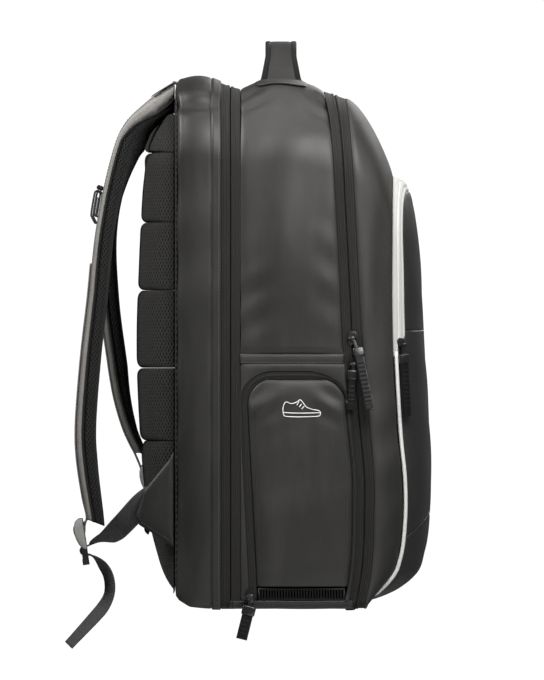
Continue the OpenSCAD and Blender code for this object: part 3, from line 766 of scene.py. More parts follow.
class Effects:
    """Shared surface effects, each a node group that is built once."""

    def __init__(self) -> None:
        """Builds every group."""
        self.weave = self._weave()
        self.net = self._net()
        self.ribs = self._ribs()
        self.age = self._age()

    @staticmethod
    def _group(name: str, inputs: dict[str, str], outputs: Sequence[str]) -> tuple[
            Tree, Graph, dict[str, Socket], Node]:
        """Empty group with named sockets.

        Args:
            name: Name of the group.
            inputs: Socket type for each input name.
            outputs: Names of the value outputs.

        Returns:
            The group, its graph, its inputs by name and its output node.
        """
        group = bpy.data.node_groups.new(name, "ShaderNodeTree")
        for key, kind in inputs.items():
            group.interface.new_socket(name=key, in_out="INPUT", socket_type=kind)
        for key in outputs:
            group.interface.new_socket(name=key, in_out="OUTPUT", socket_type="NodeSocketFloat")
        graph = Graph(group)
        entry = graph.add("NodeGroupInput")
        return group, graph, {k: entry.outputs[k] for k in inputs}, graph.add("NodeGroupOutput")

    @staticmethod
    def _uv(graph: Graph, place: Socket) -> tuple[Socket, Socket]:
        """First and second coordinate of a place.

        Args:
            graph: Graph to add to.
            place: Place to take apart.

        Returns:
            Both sockets.
        """
        parts = graph.add("ShaderNodeSeparateXYZ")
        graph.feed(parts.inputs[0], place)
        return parts.outputs[0], parts.outputs[1]

    @staticmethod
    def _wave(g: Graph, place: Socket, pitch: Socket) -> Socket:
        """Sine that crosses zero once in each pitch."""
        return g.calc("SINE", g.calc("MULTIPLY", g.calc("DIVIDE", place, pitch), math.pi))

    def _weave(self) -> Tree:
        """Plain weave: rounded threads that pass over and under each other in a chequer.

        Returns:
            The node group.
        """
        group, g, given, end = self._group(
            "thread_weave", {"Place": "NodeSocketVector", "Pitch": "NodeSocketFloat"}, ["Height"])
        u, v = self._uv(g, given["Place"])
        waves = [self._wave(g, c, given["Pitch"]) for c in (u, v)]
        over = g.calc("SIGN", g.calc("MULTIPLY", *waves))
        warp = g.calc("MULTIPLY", g.calc("ABSOLUTE", waves[0]), g.calc("MULTIPLY_ADD", over, 0.3, 0.7))
        weft = g.calc("MULTIPLY", g.calc("ABSOLUTE", waves[1]), g.calc("MULTIPLY_ADD", over, -0.3, 0.7))
        g.feed(end.inputs["Height"], g.calc("MAXIMUM", warp, weft))
        return group

    def _net(self) -> Tree:
        """Open mesh of diamonds: strands where either slanted coordinate is near a whole number.

        Returns:
            The node group.
        """
        group, g, given, end = self._group(
            "diamond_net",
            {"Place": "NodeSocketVector", "Wide": "NodeSocketFloat", "High": "NodeSocketFloat"},
            ["Hole", "Height"])
        u, v = self._uv(g, given["Place"])
        a = g.calc("DIVIDE", u, given["Wide"])
        b = g.calc("DIVIDE", v, given["High"])
        slants = [g.calc(op, a, b) for op in ("ADD", "SUBTRACT")]
        away = [g.calc("ABSOLUTE", g.calc("MULTIPLY_ADD", g.calc("FRACT", s), 2.0, -1.0)) for s in slants]
        rim = g.calc("MAXIMUM", *away)
        g.fill(end, {"Hole": g.spread(rim, 0.5, 0.78, 1.0, 0.0), "Height": g.spread(rim, 0.35, 0.95)})
        return group

    def _ribs(self) -> Tree:
        """Parallel rounded ribs across one coordinate.

        Returns:
            The node group.
        """
        group, g, given, end = self._group(
            "cloth_ribs", {"Across": "NodeSocketFloat", "Pitch": "NodeSocketFloat"}, ["Height"])
        wave = self._wave(g, given["Across"], given["Pitch"])
        g.feed(end.inputs["Height"], g.calc("POWER", g.calc("ABSOLUTE", wave), 0.6))
        return group

    def _age(self) -> Tree:
        """Broad shade, fine flecks and dust that a used cloth shows.

        Returns:
            The node group.
        """
        group, g, given, end = self._group(
            "cloth_age", {"Place": "NodeSocketVector"}, ["Shade", "Fleck", "Dust"])
        place = given["Place"]
        stretch = g.add("ShaderNodeMapping")
        g.fill(stretch, {"Vector": place, "Scale": (1.0, 1.0, 0.22)})
        g.fill(end, {
            "Shade": g.spread(g.noise(stretch.outputs[0], 26.0, 4.0, 0.6), 0.3, 0.7),
            "Fleck": g.noise(place, 900.0, 2.0),
            "Dust": g.spread(g.noise(place, 55.0, 5.0, 0.7), 0.55, 0.85)})
        return group


def shade(colour: Colour, factor: float) -> tuple[float, float, float, float]:
    """Colour made lighter or darker, as a socket value."""
    return (*(min(1.0, c * factor) for c in colour), 1.0)


class Finish:
    """Base of all finishes: one material with a Principled shader."""

    name: str
    effects: Optional[Effects] = None

    def material(self) -> Material:
        """The finish's material, made at its first use.

        Returns:
            The material.
        """
        found = bpy.data.materials.get(self.name)
        if found:
            return found
        made = bpy.data.materials.new(self.name)
        made.use_nodes = True
        self.dress(Graph(made.node_tree), made.node_tree.nodes["Principled BSDF"])
        return made

    def dress(self, g: Graph, shader: Node) -> None:
        """Adds the finish's own nodes to its shader."""
        raise NotImplementedError

    @staticmethod
    def places(g: Graph) -> tuple[Socket, Socket]:
        """Place in the object and place on the cloth."""
        node = g.add("ShaderNodeTexCoord")
        return node.outputs["Object"], node.outputs["UV"]

    @staticmethod
    def relief(g: Graph, shader: Node, height: Socket, depth: float) -> None:
        """Bump of a depth in millimetres.

        Args:
            g: Graph of the material.
            shader: Shader whose normal it bends.
            height: Height from 0 to about 1.
            depth: Depth of a height of 1.
        """
        bump = g.add("ShaderNodeBump")
        g.fill(bump, {"Distance": depth * MM, "Strength": 1.0, "Height": height})
        g.feed(shader.inputs["Normal"], bump.outputs[0])


@dataclass(frozen=True)
class CoatedCloth(Finish):
    """Coated bag cloth: softly glossy, faintly streaked along its length, with a fine weave."""

    name: str
    colour: Colour
    rough: float = 0.46
    pitch: float = 0.7
    depth: float = 0.05
    sheen: float = 0.02
    gloss: float = 0.4

    def dress(self, g: Graph, shader: Node) -> None:
        """Colour and gloss from the age of the cloth, relief from its weave.

        Args:
            g: Graph of the material.
            shader: Its shader.
        """
        place, cloth = self.places(g)
        age = g.place_group(Finish.effects.age, place=place).outputs
        weave = g.place_group(Finish.effects.weave, place=cloth, pitch=self.pitch * MM).outputs
        tone = g.blend(age["Shade"], shade(self.colour, 0.88), shade(self.colour, 1.14))
        grained = g.blend(g.spread(age["Fleck"], 0.36, 0.64, 0.0, 0.55), tone, shade(self.colour, 1.5))
        worn = g.blend(g.calc("MULTIPLY", age["Dust"], 0.18), grained, shade(self.colour, 1.9))
        dull = g.calc("MULTIPLY_ADD", age["Shade"], 0.08, self.rough - 0.04)
        g.fill(shader, {
            "Base Color": worn,
            "Roughness": g.calc("MULTIPLY_ADD", age["Dust"], 0.12, dull),
            "Specular IOR Level": g.spread(age["Shade"], 0.0, 1.0, self.gloss * 0.91, self.gloss * 1.12),
            "Sheen Weight": self.sheen,
            "Sheen Roughness": 0.4})
        self.relief(g, shader, g.calc("MULTIPLY_ADD", age["Fleck"], 1.6, weave["Height"]), self.depth)


@dataclass(frozen=True)
class NetCloth(Finish):
    """Spacer mesh: open diamonds over an inner layer that the holes show, painted near black as the shade
    inside them.
    """

    name: str
    colour: Colour
    wide: float
    high: float
    shaded_ground: Colour = (0.001, 0.001, 0.001)
    depth: float = 0.7

    def dress(self, g: Graph, shader: Node) -> None:
        """Strands lighter than the holes between them, which are painted near black as shade, with flecks of
        the knit.

        Args:
            g: Graph of the material.
            shader: Its shader.
        """
        place, cloth = self.places(g)
        age = g.place_group(Finish.effects.age, place=place).outputs
        net = g.place_group(Finish.effects.net, place=cloth, wide=self.wide * MM, high=self.high * MM).outputs
        fine = g.place_group(Finish.effects.weave, place=cloth, pitch=0.9 * MM).outputs
        strand = g.blend(age["Fleck"], shade(self.colour, 0.6), shade(self.colour, 1.4))
        # painted shade: the holes take a near-black colour, darker than any cloth, for the shade deep in the
        # mesh
        g.fill(shader, {
            "Base Color": g.blend(net["Hole"], strand, shade(self.shaded_ground, 1.0)),
            "Roughness": 0.75,
            "Specular IOR Level": 0.15,
            "Sheen Weight": 0.05,
            "Sheen Roughness": 0.5})
        self.relief(g, shader, g.calc("MULTIPLY_ADD", fine["Height"], 0.18, net["Height"]), self.depth)


@dataclass(frozen=True)
class TapeCloth(Finish):
    """Zip tape, webbing or binding: ribs along its length over a tight weave."""

    name: str
    colour: Colour
    rib: float
    depth: float
    rough: float = 0.6

    def dress(self, g: Graph, shader: Node) -> None:
        """Grooves between the ribs are painted darker, as the shade that falls in them; threads cross them.

        Args:
            g: Graph of the material.
            shader: Its shader.
        """
        place, cloth = self.places(g)
        parts = g.add("ShaderNodeSeparateXYZ")
        g.feed(parts.inputs[0], cloth)
        age = g.place_group(Finish.effects.age, place=place).outputs
        rib = g.place_group(Finish.effects.ribs, across=parts.outputs[1], pitch=self.rib * MM).outputs
        weave = g.place_group(Finish.effects.weave, place=cloth, pitch=0.6 * MM).outputs
        # painted shade: the grooves between the ribs take a third of the colour, the rib tops a little more
        tone = g.blend(rib["Height"], shade(self.colour, 0.35), shade(self.colour, 1.15))
        g.fill(shader, {
            "Base Color": g.blend(g.calc("MULTIPLY", age["Fleck"], 0.3), tone, shade(self.colour, 1.5)),
            "Roughness": self.rough,
            "Specular IOR Level": 0.15,
            "Sheen Weight": 0.03})
        self.relief(g, shader, g.calc("MULTIPLY_ADD", weave["Height"], 0.3, rib["Height"]), self.depth)


@dataclass(frozen=True)
class Moulded(Finish):
    """Moulded plastic or painted metal: glossy, with faint scuffs."""

    name: str
    colour: Colour
    rough: float = 0.28
    gloss: float = 0.5

    def dress(self, g: Graph, shader: Node) -> None:
        """Scuffs are rougher and a little lighter; the moulding has a faint orange peel.

        Args:
            g: Graph of the material.
            shader: Its shader.
        """
        place, _ = self.places(g)
        dust = g.place_group(Finish.effects.age, place=place).outputs["Dust"]
        scuffs = g.calc("MULTIPLY", dust, 0.35)
        g.fill(shader, {
            "Base Color": g.blend(scuffs, shade(self.colour, 1.0), shade(self.colour, 2.2)),
            "Roughness": g.calc("MULTIPLY_ADD", dust, 0.25, self.rough),
            "Specular IOR Level": self.gloss})
        self.relief(g, shader, g.noise(place, 1400.0, 2.0), 0.03)


@dataclass(frozen=True)
class Thread(Finish):
    """Sewing thread: twisted, slightly shiny."""

    name: str
    colour: Colour

    def dress(self, g: Graph, shader: Node) -> None:
        """Twist shown by flecks of lighter fibre.

        Args:
            g: Graph of the material.
            shader: Its shader.
        """
        place, _ = self.places(g)
        fleck = g.place_group(Finish.effects.age, place=place).outputs["Fleck"]
        g.fill(shader, {
            "Base Color": g.blend(fleck, shade(self.colour, 0.7), shade(self.colour, 1.3)),
            "Roughness": 0.5})
        self.relief(g, shader, fleck, 0.05)


class Wardrobe:
    """All finishes of the bag, as materials."""

    def __init__(self) -> None:
        """Builds the shared effects, then each finish."""
        Finish.effects = Effects()
        self.body = CoatedCloth("body_cloth", (0.0145, 0.0142, 0.0139), 0.5, depth=0.026).material()
        # painted shade: a darker copy of the body cloth, for the shade on the rear gusset, the base and the
        # wings
        self.racket = CoatedCloth("racket_cloth", (0.008, 0.0078, 0.0076), 0.48, depth=0.026).material()
        self.panel = CoatedCloth("panel_cloth", (0.016, 0.016, 0.0163), pitch=0.9, depth=0.03).material()
        self.strap = CoatedCloth("strap_cloth", (0.125, 0.121, 0.116), 0.5, 1.1, 0.07).material()
        self.handle = CoatedCloth("handle_cloth", (0.013, 0.0129, 0.0128), 0.6, 1.1, 0.03,
                                  gloss=0.25).material()
        self.lining = CoatedCloth("lining_cloth", (0.03, 0.03, 0.032), 0.6, 0.9).material()
        self.piping = CoatedCloth("piping_cloth", (0.55, 0.55, 0.54), 0.5, sheen=0.0).material()
        self.net = NetCloth("back_net", (0.02, 0.0196, 0.0188), 3.8, 6.6).material()
        self.net_strap = NetCloth("strap_net", (0.014, 0.014, 0.014), 3.4, 5.4).material()
        self.tape = TapeCloth("zip_tape_cloth", (0.013, 0.0128, 0.0122), 2.6, 0.35).material()
        self.binding = TapeCloth("binding_cloth", (0.005, 0.005, 0.005), 1.2, 0.25).material()
        self.webbing = TapeCloth("webbing_cloth", (0.045, 0.045, 0.046), 1.6, 0.3).material()
        self.white_tape = TapeCloth("white_tape_cloth", (0.47, 0.47, 0.46), 2.0, 0.2).material()
        self.plastic = Moulded("black_plastic", (0.012, 0.012, 0.013)).material()
        # painted highlight: light grey for the lamps' reflection on the buckle's glossy black sides
        self.buckle_highlight_grey = Moulded("buckle_highlight_grey", (0.22, 0.215, 0.21), 0.35).material()
        self.rubber = Moulded("soft_rubber", (0.006, 0.006, 0.0063), 0.5, 0.15).material()
        self.board = Moulded("stiff_board", (0.05, 0.05, 0.052), 0.6).material()
        self.thread = Thread("dark_thread", (0.03, 0.03, 0.03)).material()
        self.thread_light = Thread("grey_thread", (0.055, 0.055, 0.054)).material()
        self.print_white = Thread("white_thread", (0.75, 0.75, 0.74)).material()


@dataclass(frozen=True)
class RoundTop:
    """Outline seen from the front: upright sides, large round top corners and small round feet."""

    half_width: float = 160.0
    top_radius: float = 80.0
    foot_radius: float = 8.0
    foot_z: float = 8.0
    least_radius: float = 0.5
    foot_steps: int = 6
    side_steps: int = 64
    corner_steps: int = 26
    top_steps: int = 14

    def half(self, top: float, inset: float = 0.0, start: Optional[float] = None) -> Points:
        """Left half as x and z: foot arc, side, corner arc and half of the top.

        Args:
            top: Height of the top.
            inset: Distance drawn in from the outside.
            start: Height where the side starts; the foot arc is left out if it is given.

        Returns:
            Points from the foot to the middle of the top.
        """
        shoulder = self.top_radius - self.half_width
        centre = top - self.top_radius
        side_z = np.linspace(self.foot_z if start is None else start, centre, self.side_steps + 1)[:-1]
        flat_x = np.linspace(shoulder, 0.0, self.top_steps + 1)[1:]
        parts = [points_of(inset - self.half_width, side_z),
                 arc((shoulder, centre), self.top_radius - inset, 180, 90, self.corner_steps),
                 points_of(flat_x, top - inset)]
        if start is None:
            foot = (self.foot_radius - self.half_width, self.foot_z)
            radius = max(self.foot_radius - inset, self.least_radius)
            parts.insert(0, arc(foot, radius, 270, 180, self.foot_steps)[:-1])
        return np.concatenate(parts)

    def width_at(self, z: Points, top: float, inset: Points) -> Points:
        """Half width at a height, drawn in only round the top corners.

        Args:
            z: Heights.
            top: Height of the top.
            inset: Distance drawn in from the outside.

        Returns:
            One half width for each height.
        """
        up = np.clip(z - (top - self.top_radius), 0, None)
        r = self.top_radius - inset
        return self.half_width - self.top_radius + np.sqrt(np.clip(r * r - up * up, 0, None))


@dataclass(frozen=True)
class Outline(RoundTop):
    """The bag's own outline, and the main zip's line that crosses its sides."""

    main_zip: Table = ((0, -74), (30, -80), (60, -83), (130, -84), (254, -72), (460, -61.5), (490, -59),
                       (519, -53))
    zip_bend: float = 14.0
    bend_room: float = 40.0

    def ring(self, top: float, inset: float = 0.0, start: Optional[float] = None) -> Points:
        """Whole outline from the left foot, or a start height on the left, over the top to the right foot.

        Args:
            top: Height of the top.
            inset: Distance drawn in from the outside.
            start: Height where the left side starts, or none for its foot.

        Returns:
            Points as x and z.
        """
        left = self.half(top, inset, start)
        right = self.half(top, inset) * (-1.0, 1.0)
        return np.concatenate([left, right[-2::-1]])

    def zip_depth(self, z: Points) -> Points:
        """Depth of the main zip's centre line: straight stretches, the mean of nine near places.

        Args:
            z: Heights.

        Returns:
            One depth for each height.
        """
        z = np.asarray(z, float)
        top = self.main_zip[-1][0]
        reach = self.zip_bend * ramp(z, 0.0, self.bend_room) * ramp(z, top, top - self.bend_room)
        near = z + np.linspace(-1, 1, 9).reshape((9,) + (1,) * z.ndim) * reach
        return straight_lookup(near, self.main_zip).mean(axis=0)

    def beside_zip(self, ring: Points, shift: float = 0.0) -> Points:
        """Outline of x and z stood at the main zip's depth, or at a distance behind it."""
        return at_depth(ring, self.zip_depth(ring[:, 1]) + shift)


def at_depth(ring: Points, y: Points) -> Points:
    """Outline of x and z stood at a depth, one for all points or one for each."""
    return np.stack([ring[:, 0], np.broadcast_to(y, len(ring)), ring[:, 1]], -1)


@dataclass(frozen=True)
class ZipRun:
    """Two zip tapes side by side that meet at a coil.

    Each tape is a strip whose cross section is nearly flat, with a rolled cord beside the coil.
    """

    name: str
    sink: float = 0.7
    roll: float = 0.9
    roll_from: float = 0.68
    steps: int = 14
    half_gap: float = 0.5
    tooth: tuple[float, float] = (3.2, 0.62)
    tooth_pitch: float = 1.9
    tooth_sink: float = 1.9
    tooth_shift: float = 1.1
    guard_sink: float = 5.6
    guard_edges: tuple[float, float] = (12.0, -11.5)

    def strip(self, outer: Points, inner: Points, out: Points) -> Points:
        """Grid of one tape from its sewn edge to the coil.

        The height over the strip is the sink below the panels plus a rolled cord: a half sine that rises
        over the last third of the width.

        Args:
            outer: Points of the sewn edge.
            inner: Points of the coil's edge.
            out: Outward direction at each point.

        Returns:
            Grid with one row for each step across the tape.
        """
        f = edge_spaced(self.steps, 0.3)[:, None, None]
        height = self.roll * np.sin(np.pi * ramp(f, self.roll_from, 1.0)) - self.sink
        return outer[None] * (1 - f) + inner[None] * f + out[None] * height


@dataclass
class MainCompartment:
    """Main compartment: gusset, racket and main zip tapes, base and the wall behind it."""

    wear: Wardrobe
    line: Outline
    wall: float = 2.0
    divider_y: float = 41.0
    racket_zip_y: float = 50.5
    racket_edge_y: float = 60.0
    tape_half: float = 9.5
    racket_zip_tops: Sequence[float] = (527.5, 524.0, 521.5)
    main_zip_tops: Sequence[float] = (519.0, 515.5, 512.0)
    seam_z: float = 254.0
    band_z: tuple[float, float] = (255.4, 244.4)
    band_rows_z: tuple[float, float] = (252.6, 246.6)
    tops: Table = ((0, 521), (0.33, 527), (0.67, 526), (1, 519))
    folds: Sequence[Fold] = (
        Fold((134, -12, 495), (60, 36, 17), -7.0),
        Fold((108, -2, 522), (46, 34, 8), 2.4),
        Fold((118, 28, 510), (70, 15, 16), 1.9, (0.0, 0.45, 1.0), 11.0),
        Fold((118, -44, 508), (70, 14, 18), 1.8, (0.0, -0.55, 1.0), 12.0),
        Fold((160, -10, 400), (60, 60, 130), 1.1, (0.0, 1.0, 0.18), 52.0),
        Fold((160, -12, 355), (60, 40, 75), 5.0),
        Fold((160, 26, 300), (60, 16, 46), 1.0, (0.0, 0.55, 1.0), 30.0),
        Fold((160, -50, 330), (60, 15, 60), 0.8, (0.0, -0.5, 1.0), 38.0))
    body: str = Body.MAIN.value

    def gusset_surface(self) -> Points:
        """Gusset's grid from the racket zip's front edge to the main zip's rear edge, crowned over the top.

        It has a soft belly, turned-in edges and folds. The first two folds are the hollow and the brow at a
        foot of the handle; the others are pull lines beside the foot and drapes of the sides.

        Returns:
            Points as rows, columns, three.
        """
        f = edge_spaced(44, 0.5)[:, None]
        rows = []
        for share, height in zip(f[:, 0], curve_lookup(f[:, 0], self.tops)):
            ring = self.line.ring(height, 0.0, self.seam_z)
            front = self.line.zip_depth(ring[:, 1]) + self.tape_half
            rows.append(at_depth(ring, self.divider_y * (1 - share) + front * share))
        grid = np.stack(rows)
        amount = 2.2 * np.sin(np.pi * f) ** 0.7 - 1.6 * both_ends(f, 45.0)
        amount = amount + folds_on(grid, self.folds, BOTH_SIDES)
        seam = np.abs(grid[..., 2] - self.seam_z) + np.where(grid[..., 0] > 0, FAR, 0.0)
        return pushed(grid, amount * ramp(seam, 0.0, 6.0) - 0.5 * np.exp(-seam / 1.6))

    def gusset(self) -> None:
        """Coated gusset above the shoe door and round to the right foot."""
        piece = cloth_grid("main_gusset_cloth", self.gusset_surface(), self.body, self.wear.body,
                           self.wear.lining, thick=self.wall)
        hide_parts("main_gusset")

    def tape_pair(self, run: ZipRun, lines: Sequence[Points], rear_body: str, fore_body: str) -> None:
        """Both tapes of a zip round the outline, each riding on its own body.

        Args:
            run: Cross section of the tapes.
            lines: Sewn edge of the rear tape, centre line and sewn edge of the front tape.
            rear_body: Body of the rear tape.
            fore_body: Body of the front tape.
        """
        rear, middle, fore = lines
        out = grid_normals(np.stack(lines))[1]
        gap = unit(rear - middle) * run.half_gap
        back = run.strip(rear, middle + gap, out)
        front = run.strip(fore, middle - gap, out)[::-1]
        for word, grid, body in (("rear", back, rear_body), ("front", front, fore_body)):
            node = f"{run.name}_tape_{word}"
            piece = cloth_grid(node + "_cloth", grid, body, self.wear.tape, thick=1.1)
            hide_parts(node)
        self.coil(run, middle + gap, out, rear_body, "rear")
        self.coil(run, middle - gap, out, fore_body, "front")
        f = np.linspace(*run.guard_edges, 7)[:, None, None]
        grid = middle[None] - out[None] * run.guard_sink + np.array([0.0, 1.0, 0.0]) * f
        guard = cloth_grid(f"{run.name}_guard", grid, rear_body, self.wear.lining, thick=0.8)

    def coil(self, run: ZipRun, edge: Points, out: Points, body: str, word: str) -> None:
        """Coil teeth under one tape's edge, set across the zip at an even pitch.

        Args:
            run: Zip that the teeth belong to.
            edge: Points of the tape's edge.
            out: Outward direction at each point.
            body: Body that the teeth ride on.
            word: Which tape, rear or front.
        """
        rows = spaced(np.concatenate([edge, out], -1), run.tooth_pitch)
        rise = unit(rows[:, 3:])
        forward = heading(rows[:, :3])
        across = np.cross(rise, forward)
        shape, faces = spindle(*run.tooth)
        side = 1.0 if word == "rear" else -1.0
        offset = across * np.sign((across[:, 1] * side)[:, None] + TINY) * run.tooth_shift
        places = rows[:, :3] - rise * run.tooth_sink + offset
        repeated(f"{run.name}_coil_{word}", shape, faces, places, [across, -forward, rise], body,
                 self.wear.plastic)

    def zips(self) -> None:
        """Racket zip behind the gusset and main zip in front of it."""
        ring = self.line.ring
        depths = (self.racket_edge_y, self.racket_zip_y, self.divider_y)
        lines = [at_depth(ring(top), y) for top, y in zip(self.racket_zip_tops, depths)]
        self.tape_pair(ZipRun("racket_zip"), lines, Body.RACKET.value, self.body)
        shifts = (self.tape_half, 0.0, -self.tape_half)
        lines = [self.line.beside_zip(ring(top), shift) for top, shift in zip(self.main_zip_tops, shifts)]
        self.tape_pair(ZipRun("main_zip"), lines, self.body, Body.FRONT.value)

    def seam_band(self) -> None:
        """Turned seam above the shoe door: a band, high as a half sine's root, with two stitch rows."""
        side_x = -self.line.half_width
        y = np.linspace(self.divider_y - 0.2, self.line.zip_depth(250.0) + self.tape_half + 0.2, 60)
        steps = 9
        z = np.linspace(*self.band_z, steps)[:, None]
        hump = np.sin(np.linspace(0, np.pi, steps))[:, None] ** 0.5 * 1.1
        grid = points_of(side_x - hump, y, z)[::-1, ::-1]
        piece = cloth_grid("shoe_seam_band", grid, self.body, self.wear.body, thick=0.8)
        for number, height in enumerate(self.band_rows_z, 1):
            route = points_of(side_x - 0.9, y, height)
            stitches(f"shoe_seam_stitch_{number}", route, TO_LEFT, self.body, self.wear.thread_light)

    def base(self) -> None:
        """Bottom panel with rounded side edges, and its lining board.

        Its profile is a straight line between two arcs, set at each depth. A product of two sines makes it
        uneven.
        """
        r = self.line.foot_radius
        x = r - self.line.half_width
        half = np.concatenate([arc((x, r), r, 180, 270, 8), points_of(np.linspace(x, 0, 30)[1:], 0.0)])
        y = np.linspace(self.racket_edge_y - 0.4, self.line.main_zip[0][1] + 1.0, 40)
        rows = np.stack([at_depth(mirrored(half), depth) for depth in y])
        rows[..., 2] += 0.25 * np.sin(rows[..., 0] / 9.0) * np.sin(rows[..., 1] / 14.0)
        rows[..., 0] *= 1 - 0.03 * ramp(rows[..., 1], self.racket_zip_y, self.racket_zip_y + 6.0)
        piece = cloth_grid("base_cloth", rows[::-1], self.body, self.wear.racket, self.wear.lining,
                           thick=self.wall)
        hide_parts("base_panel")
        rounded_copy("stiff_base_board", "base_board", self.body, self.wear.board, 1.0)

    def hinge_tape(self, name: str, route: Table, half: tuple[float, float]) -> None:
        """Tape across the foot that joins a shell to the base, fixed in place and on neither body.

        Args:
            name: Name of the piece.
            route: Depths and heights from the base to the shell.
            half: Half widths at the base and at the shell.
        """
        corners = np.insert(np.asarray(route, float), 0, 0.0, 1)
        path = spaced(corners, 1.0)
        share = np.linspace(0, 1, len(path))[:, None]
        x = (half[0] + (half[1] - half[0]) * share) * np.linspace(-1, 1, 41)
        grid = points_of(x, path[:, 1:2], path[:, 2:3])
        if corners[-1, 1] > corners[0, 1]:
            grid = grid[::-1]
        piece = closed_form(name, grid, grid - (0.0, 0.0, 0.7), "", self.wear.binding)
        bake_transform(piece)

    def hinge_tapes(self) -> None:
        """Tapes at the feet of the racket shell and of the front shell."""
        rear = ((50, 3.0), (56, 3.0), (59, 3.0), (61.5, 2.8), (64, 2.4), (68, 2.0))
        self.hinge_tape("rear_hinge_tape", rear, (148.0, 148.0))
        front = ((-64, -0.9), (-70, -0.9), (-73.5, -0.6), (-76, 1.6), (-79, 3.9), (-84, 5.2), (-90, 6.8))
        self.hinge_tape("front_hinge_tape", front, (150.0, 140.0))

    def divider(self) -> None:
        """Padded wall between the racket and main compartments: a tombstone pillow, thin at its rim."""
        top, inset = 518.0, 2.6
        rear_y, front_y = 37.6, 37.4
        ring = self.line.ring(top, inset)
        ring[:, 1] = np.maximum(ring[:, 1], inset)
        flat, puff = pillow(ring, (0.0, 262.0), 22, 2.4, 10)
        back, front = (points_of(flat[..., 0], y, flat[..., 1]) for y in (rear_y + puff, front_y - puff))
        grid = np.concatenate([back[::-1], front])
        piece = cloth_grid("divider_pad", grid, self.body, self.wear.lining, closed=True)
        weld(piece.data)
        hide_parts("divider_panel")

    def build(self) -> None:
        """Builds the compartment's pieces in order."""
        self.gusset()
        self.zips()
        self.seam_band()
        self.base()
        self.hinge_tapes()
        self.divider()


